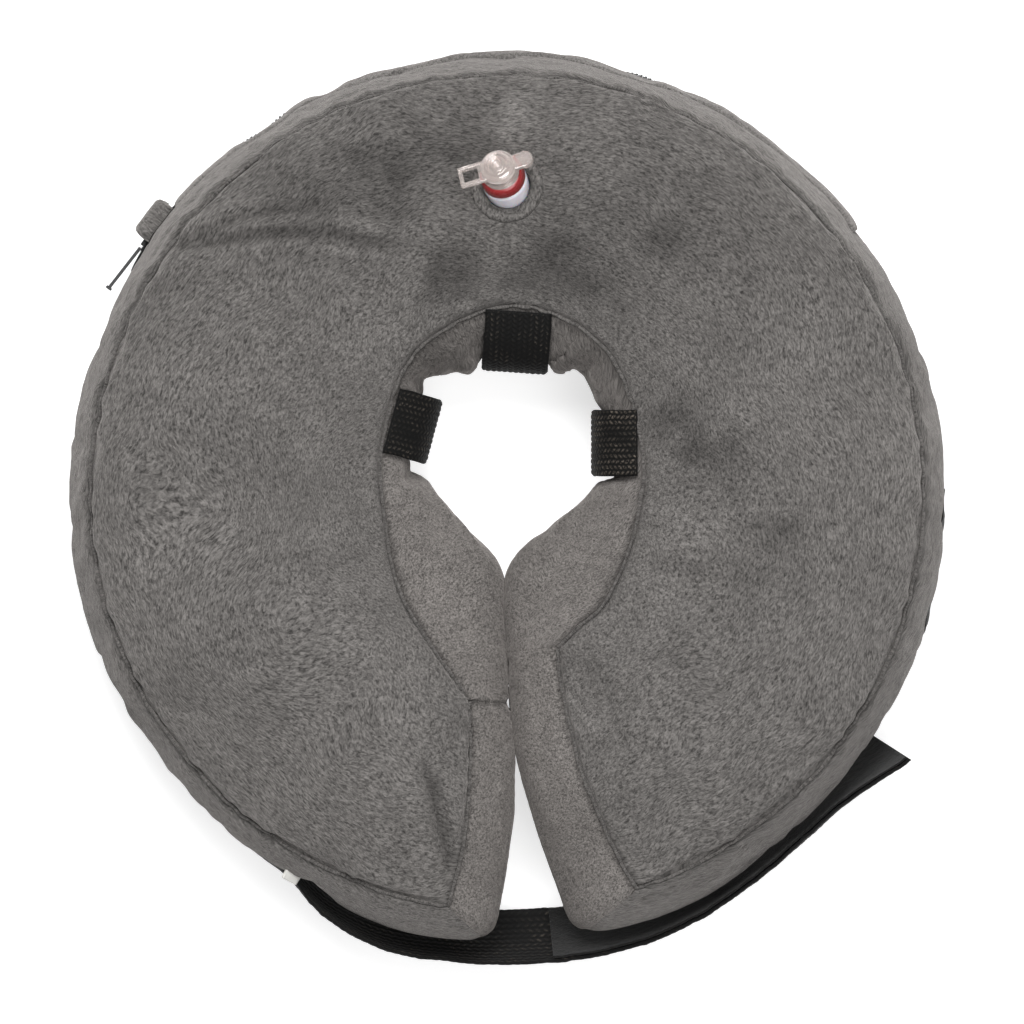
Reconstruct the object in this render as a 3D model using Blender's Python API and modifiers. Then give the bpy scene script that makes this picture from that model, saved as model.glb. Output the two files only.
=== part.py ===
"""Inflatable plush recovery collar for a pet, built as separate sub-parts.

The collar is a C-shaped inflated ring lying on its back panel: metres, +Z up, the
valve side up, the slit at -Y, and the origin under the middle of the whole object.
A sewn plush cover holds an air bladder; a zip in the outer wall lets it out, a
webbing strap with hook tape closes the slit, and three loops take the pet's collar.
"""
import math

import bmesh
import bpy
from mathutils import Matrix, Vector

# ---------------------------------------------------------------- driving sizes, metres
MM = 0.001
MIDDLE_Z = 38 * MM              # height of the ring's middle plane
HALF_SEAM = 26 * MM             # height of a seam above or below that plane
FRONT_RISE = 12 * MM            # how far the front panel domes above its seams
BACK_RISE = 14.5 * MM           # the back panel would dome this far, but rests on z = 0
COVER_THICKNESS = 2.0 * MM
BLADDER_DEPTH = 4.0 * MM        # from the cover's outside to the bladder's outside
FILM_THICKNESS = 0.6 * MM
SEAM_GAP = 0.25 * MM
CLEARANCE = 0.3 * MM

# The ring's plan, from the ring's own centre.
RING_SHIFT = Vector((-0.83 * MM, 2.89 * MM, 0))   # puts the origin under the object's middle
SEAM_CENTRE_Y = 3 * MM
SEAM_RADIUS = 157.5 * MM
WALL_CENTRE_Y = 1.5 * MM
WALL_RADIUS = 165 * MM
START_ANGLE = 262.0             # the left slit corner, degrees from +X
RING_SWEEP = 334.0              # clockwise from there to the right slit corner
CORNER_SPAN = 0.06              # share of the ring over which its slit corners round off
DOME_SPAN = 0.07                # share of the ring over which a panel's end comes down
LEFT_SLIT_BOW = 3.5 * MM
RIGHT_SLIT_BOW = -6 * MM
BOW_SPAN = 0.12

# Neck seam and the most bulging line of the neck wall, paired, in millimetres,
# from the left slit corner over the top to the right slit corner.
NECK_KNOTS = [
    ((-13, -75), (-2.6, -77)),
    ((-29, -53), (-2.2, -48)),
    ((-40, -34), (-4.0, -25)),
    ((-45.5, -8), (-23, -3.5)),
    ((-46, 22), (-41.5, 21)),
    ((-33, 56), (-26, 49)),
    ((2, 72), (2, 61.5)),
    ((36, 57), (29.5, 50)),
    ((50, 20), (45, 20)),
    ((48, -10), (29.5, 0)),
    ((38, -36), (4.0, -22)),
    ((28, -46), (0.2, -39)),
    ((18, -55), (0.2, -57)),
]
# The most bulging lines of the slit's two walls, from the neck outwards, in millimetres.
LEFT_SLIT_KNOTS = [(-2.6, -77), (-0.6, -98), (-1, -125), (-5, -162)]
RIGHT_SLIT_KNOTS = [(0.2, -57), (4.5, -93), (11.5, -122), (25, -161)]

# Mesh steps along the ring, across a panel and down a wall.
COVER_STEPS = (44, 7, 6)
BLADDER_STEPS = (24, 4, 4)
WALL_ROUNDNESS = 2.4            # exponent of a wall's bulge: 2 is round, higher is squarer
DOME_ROUNDNESS = 2.6

# Zip, set on the outer wall where its two bands meet.
ZIP_LINE = 4 / 6                # share of the wall's height, from the front seam down
ZIP_OPEN_ANGLE = 38.0
ZIP_CLOSED_ANGLE = 149.0
PLACKET_ANGLES = (37.3, 138.9)
GARAGE_ANGLES = (139.2, 144.6)
SLIDER_ANGLE = 144.0
SLIDER_SIZE = (9 * MM, 2.2 * MM, 7.4 * MM)      # along the zip, proud, across
SLIDER_FLOOR = 1.5 * MM         # height of the slider's flanges above the wall
CHAIN_HALF_WIDTH = 2.4 * MM
PULL_REACH = 1.6 * MM           # from the slider's end to the pull's hinge line
PULL_LENGTH = 18.8 * MM
PULL_THICKNESS = 1.3 * MM
PULL_WIDTH = 5 * MM
PULL_REST = -2.0                # degrees that the pull stands out from the tangent

# Loops for the pet's own collar: 25 mm webbing over the neck wall.
LOOP_WIDTH = 25 * MM
LOOP_THICKNESS = 1.8 * MM
LOOP_START = 3.8 * MM           # how far inside the neck seam a loop's ends lie
LOOPS = {                       # centre on the neck seam, facing, reach into the neck
    "top": ((4.5, 71.2), 266, 23),
    "left": ((-43.8, 30), -15, 17),
    "right": ((49.4, 21.5), 180, 17.5),
}

# Closing strap: a 38 mm band whose front edge stands off the ring.
STRAP_WIDTH = 38 * MM
STRAP_REAR_Z = 9 * MM
STRAP_BOW = 3 * MM
HOOK_LAYER = (0.0, 1.0 * MM)
WEBBING_LAYER = (1.4 * MM, 3.1 * MM)
# Ring angle in degrees, then the inner face's radius at the front and rear edges, mm.
STRAP_KNOTS = [
    (201, 163.2, 157.2), (221, 163.0, 157.0), (241, 165.2, 157.4), (253, 173.2, 158.0),
    (263, 173.4, 155.0), (273, 173.2, 153.8), (283, 173.6, 155.0), (293, 172.4, 157.2),
    (303, 169.4, 158.6), (311, 167.8, 159.4), (319, 169.6, 160.6), (327.4, 179.5, 163.5),
]
STRAP_PIECES = {                # from and to ring angle
    "strap_anchor": (201, 253),
    "strap_bridge": (253, 275.2),
    "strap_middle": (275.2, 301),
    "strap_tail": (301, 327.4),
}
HOOK_PIECES = {
    "hook_tape_middle": (275.2, 301),
    "hook_tape_tail": (301, 327.4),
}
STRAP_STEP = 3.6                # degrees between a strap's stations
SEGMENT_GAP = 0.06              # degrees left free at each side of a bend

# Blank label sewn to the outer wall beside the strap.
LABEL_SIZE = (5.6 * MM, 0.6 * MM, 7.5 * MM)
LABEL_ANGLE = 240.2
LABEL_PROUD = 1.4 * MM          # of its middle
LABEL_HEIGHT = 51 * MM

# Valve: a soft stem that leans, on the crown of the front panel.
VALVE_PLACE = (0, 118 * MM)
VALVE_LEAN = 28.0
VALVE_LEAN_TOWARDS = 117.0      # degrees from +X
COVER_HOLE_RADIUS = 10.8 * MM
FILM_HOLE_RADIUS = 3.5 * MM
WING_TURN = 15.0                # the wings' line, degrees from +X
TURN_STEPS = 24

MATERIALS = {                   # base colour, roughness, metallic
    "velour": ((0.135, 0.128, 0.122), 0.95, 0.0),
    "lining": ((0.150, 0.140, 0.125), 0.95, 0.0),
    "webbing": ((0.012, 0.012, 0.013), 0.80, 0.0),
    "fastening_tape": ((0.010, 0.010, 0.011), 0.92, 0.0),
    "zip_plastic": ((0.014, 0.014, 0.015), 0.45, 0.0),
    "label": ((0.80, 0.79, 0.76), 0.85, 0.0),
    "film": ((0.55, 0.58, 0.60), 0.25, 0.0),
    "valve_white": ((0.78, 0.76, 0.82), 0.35, 0.0),
    "valve_red": ((0.62, 0.05, 0.04), 0.35, 0.0),
    "valve_clear": ((0.86, 0.78, 0.78), 0.10, 0.0),
    "seal_rubber": ((0.10, 0.10, 0.10), 0.60, 0.0),
}


# ---------------------------------------------------------------- scene helpers
def clear_scene():
    """Remove every object of the start-up scene."""
    for obj in list(bpy.data.objects):
        bpy.data.objects.remove(obj, do_unlink=True)


def new_collection(name):
    """Make a collection in the scene."""
    collection = bpy.data.collections.new(name)
    bpy.context.scene.collection.children.link(collection)
    return collection


def material(name):
    """Return the named Principled material, made on first use."""
    found = bpy.data.materials.get(name)
    if found:
        return found
    colour, roughness, metallic = MATERIALS[name]
    made = bpy.data.materials.new(name)
    made.use_nodes = True
    shader = made.node_tree.nodes["Principled BSDF"]
    shader.inputs["Base Color"].default_value = (*colour, 1.0)
    shader.inputs["Roughness"].default_value = roughness
    shader.inputs["Metallic"].default_value = metallic
    return made


def add_object(name, mesh, material_name, parent, location=(0, 0, 0), rotation=(0, 0, 0)):
    """Put a mesh in the collar's collection, under a parent empty."""
    obj = bpy.data.objects.new(name, mesh)
    COLLAR.objects.link(obj)
    obj.parent = parent
    obj.location = location
    obj.rotation_euler = rotation
    mesh.materials.append(material(material_name))
    return obj


def add_empty(name, parent, location=(0, 0, 0), rotation=(0, 0, 0)):
    """Add an empty that carries parts or marks a joint axis."""
    empty = bpy.data.objects.new(name, None)
    empty.empty_display_size = 0.01
    COLLAR.objects.link(empty)
    empty.parent = parent
    empty.location = location
    empty.rotation_euler = rotation
    return empty


def shade(mesh, angle=35):
    """Smooth shading with sharp edges kept."""
    mesh.shade_smooth()
    mesh.set_sharp_from_angle(angle=math.radians(angle))


def bmesh_to_mesh(name, work):
    """Finish a bmesh: faces outward, then into a mesh."""
    bmesh.ops.recalc_face_normals(work, faces=work.faces)
    mesh = bpy.data.meshes.new(name)
    work.to_mesh(mesh)
    work.free()
    shade(mesh)
    return mesh


def as_cutter(obj):
    """Turn an object into a hidden Boolean helper."""
    COLLAR.objects.unlink(obj)
    CUTTERS.objects.link(obj)
    obj.hide_render = True
    obj.display_type = "WIRE"
    return obj


def boolean(obj, operation, cutter):
    """Join or cut with the exact solver."""
    modifier = obj.modifiers.new(operation.lower(), "BOOLEAN")
    modifier.operation = operation
    modifier.solver = "EXACT"
    modifier.object = cutter


# ---------------------------------------------------------------- curves and the plan
def through(knots, t):
    """Smooth (Catmull-Rom) curve through the knots; t counts knots from 0."""
    index = min(int(t), len(knots) - 2)
    local = t - index
    start, end = knots[index], knots[index + 1]
    before = knots[index - 1] if index > 0 else start * 2 - end
    after = knots[index + 2] if index + 2 < len(knots) else end * 2 - start
    return 0.5 * (2 * start + (end - before) * local
                  + (2 * before - 5 * start + 4 * end - after) * local ** 2
                  + (3 * start - before - 3 * end + after) * local ** 3)


def vectors(points):
    """Millimetre pairs as vectors in metres."""
    return [Vector(point) * MM for point in points]


def arc_table(knots, steps=24):
    """Lengths along a smooth curve, as (length so far, t)."""
    table = [(0.0, 0.0)]
    for step in range(1, steps * (len(knots) - 1) + 1):
        t = step / steps
        stride = (through(knots, t) - through(knots, table[-1][1])).length
        table.append((table[-1][0] + stride, t))
    return table


NECK_SEAM = vectors(seam for seam, wall in NECK_KNOTS)
NECK_WALL = vectors(wall for seam, wall in NECK_KNOTS)
LEFT_SLIT = vectors(LEFT_SLIT_KNOTS)
RIGHT_SLIT = vectors(RIGHT_SLIT_KNOTS)
NECK_TABLE = arc_table(NECK_SEAM)
NECK_LENGTH = NECK_TABLE[-1][0]
OUTER_LENGTH = math.radians(RING_SWEEP) * SEAM_RADIUS


def neck_parameter(u):
    """Knot parameter at share u of the neck seam's length."""
    target = u * NECK_LENGTH
    for (low, t_low), (high, t_high) in zip(NECK_TABLE, NECK_TABLE[1:]):
        if target <= high:
            return t_low + (t_high - t_low) * (target - low) / (high - low)
    return NECK_TABLE[-1][1]


def on_circle(centre_y, radius, angle):
    """Plan point on a circle centred on the ring's Y axis, angle in degrees."""
    turn = math.radians(angle)
    return Vector((radius * math.cos(turn), centre_y + radius * math.sin(turn)))


def ring_angle(u):
    """Angle of the outer seam at share u of the ring."""
    return START_ANGLE - RING_SWEEP * u


def fade(distance, span):
    """1 at no distance, easing to 0 at the span."""
    return max(0.0, 1 - distance / span) ** 2


def outer_wall(u):
    """The outer wall's most bulging line, rounded into the slit's corners."""
    point = on_circle(WALL_CENTRE_Y, WALL_RADIUS, ring_angle(u))
    left = LEFT_SLIT[-1] - on_circle(WALL_CENTRE_Y, WALL_RADIUS, ring_angle(0))
    right = RIGHT_SLIT[-1] - on_circle(WALL_CENTRE_Y, WALL_RADIUS, ring_angle(1))
    return point + left * fade(u, CORNER_SPAN) + right * fade(1 - u, CORNER_SPAN)


def plan(u, v, inset=0.0):
    """Plan point of a panel: u along the ring, v from neck to outer seam.

    The inset moves all four edges of the panel inwards by that distance.
    """
    along = NECK_LENGTH + (OUTER_LENGTH - NECK_LENGTH) * v
    margin_u = inset / along
    u = margin_u + u * (1 - 2 * margin_u)
    neck = through(NECK_SEAM, neck_parameter(u))
    outer = on_circle(SEAM_CENTRE_Y, SEAM_RADIUS, ring_angle(u))
    margin_v = inset / (outer - neck).length
    v = margin_v + v * (1 - 2 * margin_v)
    bow = LEFT_SLIT_BOW * fade(u, BOW_SPAN) + RIGHT_SLIT_BOW * fade(1 - u, BOW_SPAN)
    return neck.lerp(outer, v) + Vector((bow * 4 * v * (1 - v), 0))


def dome(u, v):
    """How far a panel is domed, from 0 at its seams to 1."""
    across = 1 - abs(2 * v - 1) ** DOME_ROUNDNESS
    from_end = min(u, 1 - u, DOME_SPAN) / DOME_SPAN
    return across * (1 - (1 - from_end) ** DOME_ROUNDNESS)


def bulge(w):
    """How far a wall bulges, from 0 at its seams to 1 half way down."""
    return 1 - abs(2 * w - 1) ** WALL_ROUNDNESS


# ---------------------------------------------------------------- inflated surfaces
def front_surface(u, v, depth):
    """Front panel, depth below its outside."""
    point = plan(u, v, depth + SEAM_GAP)
    return Vector((*point, MIDDLE_Z + HALF_SEAM - depth + FRONT_RISE * dome(u, v)))


def back_surface(u, v, depth):
    """Back panel: domed as the front is, but flat where it rests."""
    point = plan(u, v, depth + SEAM_GAP)
    height = max(MIDDLE_Z - HALF_SEAM - BACK_RISE * dome(u, v), 0.0)
    return Vector((*point, height + depth))


def wall_point(base, outward, w, depth):
    """Point of a wall, from the front seam (w = 0) to the back seam (w = 1)."""
    point = base + outward * bulge(w)
    return Vector((*point, MIDDLE_Z + (HALF_SEAM - depth - SEAM_GAP) * (1 - 2 * w)))


def neck_wall_surface(u, w, depth):
    """Wall round the neck opening."""
    outward = through(NECK_WALL, neck_parameter(u)) - plan(u, 0)
    return wall_point(plan(u, 0, depth), outward, w, depth)


def outer_wall_surface(u, w, depth):
    """Wall round the outside."""
    return wall_point(plan(u, 1, depth), outer_wall(u) - plan(u, 1), w, depth)


def left_slit_surface(v, w, depth):
    """Wall of the slit on the strap's side."""
    outward = through(LEFT_SLIT, v * (len(LEFT_SLIT) - 1)) - plan(0, v)
    return wall_point(plan(0, v, depth), outward, w, depth)


def right_slit_surface(v, w, depth):
    """Wall of the slit on the other side."""
    outward = through(RIGHT_SLIT, v * (len(RIGHT_SLIT) - 1)) - plan(1, v)
    return wall_point(plan(1, v, depth), outward, w, depth)


def even(first, last, steps):
    """Evenly spaced values, both ends included."""
    return [first + (last - first) * step / steps for step in range(steps + 1)]


def ring_stations(steps, gap=0.0):
    """Shares of the ring, closer together near the slit."""
    crowding = 0.4
    shares = []
    for value in even(0, 1, steps):
        share = value - crowding * math.sin(2 * math.pi * value) / (2 * math.pi)
        shares.append(gap + share * (1 - 2 * gap))
    return shares


def layered_sheet(name, rows, columns, outside, inside):
    """Closed mesh between two surfaces sampled on the same grid."""
    work = bmesh.new()
    layers = []
    for surface in (outside, inside):
        layers.append([[work.verts.new(surface(row, column)) for column in columns]
                       for row in rows])
    for layer in layers:
        for near, far in zip(layer, layer[1:]):
            for c in range(len(columns) - 1):
                work.faces.new((near[c], near[c + 1], far[c + 1], far[c]))
    rims = [[layer[0] for layer in layers], [layer[-1] for layer in layers],
            [[row[0] for row in layer] for layer in layers],
            [[row[-1] for row in layer] for layer in layers]]
    for outer, inner in rims:
        for i in range(len(outer) - 1):
            work.faces.new((outer[i], outer[i + 1], inner[i + 1], inner[i]))
    return bmesh_to_mesh(name, work)


def inflated_piece(name, surface, rows, columns, depths, material_name):
    """One cover or bladder piece, between two depths of its surface."""
    def outside(a, b):
        return surface(a, b, depths[0])

    def inside(a, b):
        return surface(a, b, depths[1])

    mesh = layered_sheet(name, rows, columns, outside, inside)
    return add_object(name, mesh, material_name, RING)


def make_cover():
    """The sewn plush cover: two panels and the walls between them."""
    along, across, down = COVER_STEPS
    depths = (0.0, COVER_THICKNESS)
    panel_rows = ring_stations(along)
    widths = even(0, 1, across)
    zip_row = round(down * ZIP_LINE)
    upper = even(0, ZIP_LINE - SEAM_GAP / (2 * HALF_SEAM), zip_row)
    lower = even(ZIP_LINE + SEAM_GAP / (2 * HALF_SEAM), 1, down - zip_row)
    outer_rows = ring_stations(along, SEAM_GAP / OUTER_LENGTH)
    neck_rows = ring_stations(along, SEAM_GAP / NECK_LENGTH)
    slit_length = (plan(0, 1) - plan(0, 0)).length
    slit_rows = even(SEAM_GAP / slit_length, 1 - SEAM_GAP / slit_length, across)
    heights = even(0, 1, down)
    front = inflated_piece("front_panel", front_surface, panel_rows, widths, depths, "velour")
    inflated_piece("back_panel", back_surface, panel_rows, widths, depths, "velour")
    inflated_piece("outer_gusset_front", outer_wall_surface, outer_rows, upper, depths, "velour")
    inflated_piece("outer_gusset_rear", outer_wall_surface, outer_rows, lower, depths, "velour")
    inflated_piece("neck_gusset", neck_wall_surface, neck_rows, heights, depths, "lining")
    inflated_piece("slit_gusset_left", left_slit_surface, slit_rows, heights, depths, "velour")
    inflated_piece("slit_gusset_right", right_slit_surface, slit_rows, heights, depths, "velour")
    boolean(front, "DIFFERENCE", upright_cutter("valve_hole", COVER_HOLE_RADIUS))


def make_bladder():
    """The air bladder: welded films, a little inside the cover."""
    along, across, down = BLADDER_STEPS
    depths = (BLADDER_DEPTH, BLADDER_DEPTH + FILM_THICKNESS)
    panel_rows = ring_stations(along)
    widths = even(0, 1, across)
    outer_rows = ring_stations(along, SEAM_GAP / OUTER_LENGTH)
    neck_rows = ring_stations(along, SEAM_GAP / NECK_LENGTH)
    slit_length = (plan(0, 1) - plan(0, 0)).length
    slit_rows = even(SEAM_GAP / slit_length, 1 - SEAM_GAP / slit_length, across)
    heights = even(0, 1, down)
    front = inflated_piece("bladder_front_film", front_surface, panel_rows, widths, depths, "film")
    inflated_piece("bladder_back_film", back_surface, panel_rows, widths, depths, "film")
    inflated_piece("bladder_outer_wall", outer_wall_surface, outer_rows, heights, depths, "film")
    inflated_piece("bladder_neck_wall", neck_wall_surface, neck_rows, heights, depths, "film")
    inflated_piece("bladder_end_left", left_slit_surface, slit_rows, heights, depths, "film")
    inflated_piece("bladder_end_right", right_slit_surface, slit_rows, heights, depths, "film")
    boolean(front, "DIFFERENCE", upright_cutter("film_hole", FILM_HOLE_RADIUS))


def upright_cutter(name, radius):
    """Vertical cylinder through the front panel under the valve."""
    work = bmesh.new()
    bmesh.ops.create_cone(work, cap_ends=True, segments=TURN_STEPS,
                          radius1=radius, radius2=radius, depth=HALF_SEAM)
    mesh = bmesh_to_mesh(name, work)
    place = (*VALVE_PLACE, MIDDLE_Z + HALF_SEAM + FRONT_RISE)
    return as_cutter(add_object(name, mesh, "velour", RING, place))


# ---------------------------------------------------------------- zip
def skin_circle(w):
    """Centre height in plan and radius of the outer wall's circle at w."""
    share = bulge(w)
    centre_y = SEAM_CENTRE_Y + (WALL_CENTRE_Y - SEAM_CENTRE_Y) * share
    return centre_y, SEAM_RADIUS + (WALL_RADIUS - SEAM_RADIUS) * share


def skin_point(angle, w, proud):
    """Point standing proud of the outer wall."""
    centre_y, radius = skin_circle(w)
    point = on_circle(centre_y, radius + proud, angle)
    return Vector((*point, MIDDLE_Z + (HALF_SEAM - SEAM_GAP) * (1 - 2 * w)))


def wall_band(name, angles, steps, section, material_name):
    """Band along the outer wall; section rows are (w, inner proud, outer proud)."""
    def layer(side):
        return lambda angle, row: skin_point(angle, section[row][0], section[row][side] * MM)

    rows = even(*angles, steps)
    mesh = layered_sheet(name, rows, range(len(section)), layer(2), layer(1))
    return add_object(name, mesh, material_name, RING)


def make_zip():
    """Tapes, chain, stops, flap, garage, slider and pull."""
    angles = (ZIP_OPEN_ANGLE, ZIP_CLOSED_ANGLE)
    tape = (0.35, 0.85)
    wall_band("zip_tape_upper", angles, 26,
              [(0.54, *tape), (0.60, *tape), (0.659, *tape)], "zip_plastic")
    wall_band("zip_tape_lower", angles, 26,
              [(0.674, *tape), (0.73, *tape), (0.79, *tape)], "zip_plastic")
    half = CHAIN_HALF_WIDTH / (2 * HALF_SEAM)
    chain = [(ZIP_LINE - half, 1.15, 1.8), (ZIP_LINE, 1.15, 2.1), (ZIP_LINE + half, 1.2, 1.8)]
    wall_band("zip_chain", (ZIP_OPEN_ANGLE + 1, ZIP_CLOSED_ANGLE - 3), 26, chain, "zip_plastic")
    stop = [(ZIP_LINE - half, 1.15, 1.75), (ZIP_LINE + half, 1.2, 1.75)]
    wall_band("zip_stop_open", (ZIP_OPEN_ANGLE + 0.2, ZIP_OPEN_ANGLE + 0.8), 1, stop, "zip_plastic")
    wall_band("zip_stop_closed", (ZIP_CLOSED_ANGLE - 2.7, ZIP_CLOSED_ANGLE - 2.0), 1, stop,
              "zip_plastic")
    flap = [(0.40, 0.35, 1.2), (0.44, 0.35, 3.0), (0.51, 0.6, 3.7), (0.54, 1.2, 3.7), (0.575, 1.2, 3.2)]
    wall_band("zip_placket", PLACKET_ANGLES, 28, flap, "velour")
    hood = [(0.45, 0.35, 1.5), (0.49, 2.2, 5.0), (0.55, 4.3, 7.4), (0.67, 4.9, 8.0), (0.80, 5.6, 7.6)]
    wall_band("zip_garage", GARAGE_ANGLES, 3, hood, "velour")
    centre_y, radius = skin_circle(ZIP_LINE)
    height = skin_point(0, ZIP_LINE, 0).z
    track = add_empty("zip_track_axis", RING, (0, centre_y, height))
    make_slider(track, radius)


def box(name, size, bevel=0.0):
    """Mesh of a box about its own middle, with its edges bevelled."""
    work = bmesh.new()
    bmesh.ops.create_cube(work, size=1)
    bmesh.ops.scale(work, vec=size, verts=work.verts)
    if bevel:
        bmesh.ops.bevel(work, geom=work.edges, offset=bevel, segments=2, affect="EDGES",
                        profile=0.5)
    return bmesh_to_mesh(name, work)


def make_slider(track, radius):
    """Slider that straddles the chain, with its pull hinged behind it."""
    length, proud, across = SLIDER_SIZE
    carriage = add_empty("zip_slider_seat", track, (0, 0, 0), (0, 0, math.radians(SLIDER_ANGLE)))
    reach = radius + SLIDER_FLOOR + proud / 2
    slider = add_object("zip_slider", box("zip_slider", (proud, length, across), 0.4 * MM),
                        "zip_plastic", carriage, (reach, 0, 0))
    channel_depth = 1.3 * MM
    channel = add_object("chain_channel", box("chain_channel", (channel_depth * 2, length * 2,
                         2 * CHAIN_HALF_WIDTH + 1.2 * MM)), "zip_plastic", carriage,
                         (radius + SLIDER_FLOOR, 0, 0))
    boolean(slider, "DIFFERENCE", as_cutter(channel))
    pivot = (reach + proud / 2 - PULL_THICKNESS / 2, length / 2 + PULL_REACH, 0)
    hinge = add_empty("zip_pull_axis", carriage, pivot, (0, 0, math.radians(PULL_REST)))
    make_pull(hinge)


def make_pull(hinge):
    """Flat pull tab with a thicker bar at its end, its eye round the hinge line."""
    work = bmesh.new()
    bmesh.ops.create_cone(work, cap_ends=True, segments=12, radius1=PULL_THICKNESS / 2,
                          radius2=PULL_THICKNESS / 2, depth=PULL_WIDTH)
    pull = add_object("zip_pull", bmesh_to_mesh("zip_pull", work), "zip_plastic", hinge)
    shank = add_object("pull_shank", box("pull_shank", (PULL_THICKNESS * 0.9, PULL_LENGTH,
                       PULL_WIDTH * 0.84), 0.2 * MM), "zip_plastic", hinge, (0, PULL_LENGTH / 2, 0))
    grip = add_object("pull_grip", box("pull_grip", (PULL_THICKNESS * 1.8, 1.1 * MM,
                      PULL_WIDTH), 0.2 * MM), "zip_plastic", hinge, (0, PULL_LENGTH, 0))
    boolean(pull, "UNION", as_cutter(shank))
    boolean(pull, "UNION", as_cutter(grip))


# ---------------------------------------------------------------- webbing
def make_loops():
    """Three webbing loops that stand off the neck wall, seam to seam."""
    for name, (centre, facing, reach) in LOOPS.items():
        def layer(extra, name=name, reach=reach):
            def point(across, w):
                height = (HALF_SEAM - 1.2 * MM + extra * 0.5) * (1 - 2 * w)
                shape = 1 - abs(2 * w - 1) ** 2.6
                rise = reach * MM - LOOP_THICKNESS - LOOP_START
                return Vector((LOOP_START + rise * shape + extra, across, MIDDLE_Z + height))
            return point

        widths = even(-LOOP_WIDTH / 2, LOOP_WIDTH / 2, 2)
        mesh = layered_sheet("collar_loop_" + name, widths, even(0.03, 0.97, 11),
                             layer(LOOP_THICKNESS), layer(0.0))
        add_object("collar_loop_" + name, mesh, "webbing", RING,
                   (centre[0] * MM, centre[1] * MM, 0), (0, 0, math.radians(facing)))


def strap_radii(angle):
    """Inner face's radius at the strap's front and rear edges."""
    index = 0
    while index < len(STRAP_KNOTS) - 2 and angle > STRAP_KNOTS[index + 1][0]:
        index += 1
    start, end = STRAP_KNOTS[index][0], STRAP_KNOTS[index + 1][0]
    knots = [Vector(knot[1:]) * MM for knot in STRAP_KNOTS]
    return through(knots, index + (angle - start) / (end - start))


def strap_point(angle, share, layer):
    """Point of the strap: share 0 at the front edge, 1 at the rear edge."""
    front, rear = strap_radii(angle)
    rise = math.sqrt(STRAP_WIDTH ** 2 - (front - rear) ** 2)
    lean = (front - rear) / STRAP_WIDTH
    radius = front + (rear - front) * share + STRAP_BOW * 4 * share * (1 - share)
    radius += layer * rise / STRAP_WIDTH
    height = STRAP_REAR_Z + rise * (1 - share) - layer * lean
    return Vector((*on_circle(0, radius, angle), height))


def strap_layer(name, angles, layer, material_name, rows_across=(0, 0.25, 0.5, 0.75, 1)):
    """One stretch of strap or tape between two layers of the strap's thickness."""
    first, last = angles
    steps = math.ceil((last - first) / STRAP_STEP)
    stations = even(first + SEGMENT_GAP, last - SEGMENT_GAP, steps)
    mesh = layered_sheet(name, stations, rows_across,
                         lambda angle, share: strap_point(angle, share, layer[1]),
                         lambda angle, share: strap_point(angle, share, layer[0]))
    return add_object(name, mesh, material_name, RING)


def make_strap():
    """Closing strap with its hook tape, the loop strip that it grips and the label."""
    for name, angles in STRAP_PIECES.items():
        strap_layer(name, angles, WEBBING_LAYER, "webbing")
        if name != "strap_anchor":
            add_empty(name + "_axis", RING, strap_point(angles[0], 0, WEBBING_LAYER[1]))
    for name, angles in HOOK_PIECES.items():
        strap_layer(name, angles, HOOK_LAYER, "fastening_tape", (0.05, 0.25, 0.5, 0.75, 0.95))
    strip = [(w, 0.35, 1.35) for w in (0.50, 0.56, 0.62, 0.72, 0.82, 0.92)]
    wall_band("loop_strip", (-66, 1), 20, strip, "fastening_tape")
    place = (*on_circle(0, WALL_RADIUS + LABEL_PROUD, LABEL_ANGLE), LABEL_HEIGHT)
    add_object("care_label", box("care_label", LABEL_SIZE), "label", RING, place,
               (0, 0, math.radians(LABEL_ANGLE)))


# ---------------------------------------------------------------- valve
def turned(name, profile, material_name, parent, height=0.0):
    """Turned part from a profile in millimetres, run down its outer side."""
    mesh = bpy.data.meshes.new(name)
    points = [(radius * MM, 0, z * MM) for radius, z in profile]
    closed = min(radius for radius, z in profile) > 0
    edges = [(i, i + 1) for i in range(len(points) - 1)]
    if closed:
        edges.append((len(points) - 1, 0))
    mesh.from_pydata(points, edges, [])
    obj = add_object(name, mesh, material_name, parent, (0, 0, height))
    screw = obj.modifiers.new("turn", "SCREW")
    screw.axis = "Z"
    screw.steps = TURN_STEPS
    screw.render_steps = TURN_STEPS
    screw.use_merge_vertices = True
    screw.merge_threshold = 0.00002
    screw.use_smooth_shade = True
    return obj


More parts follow.
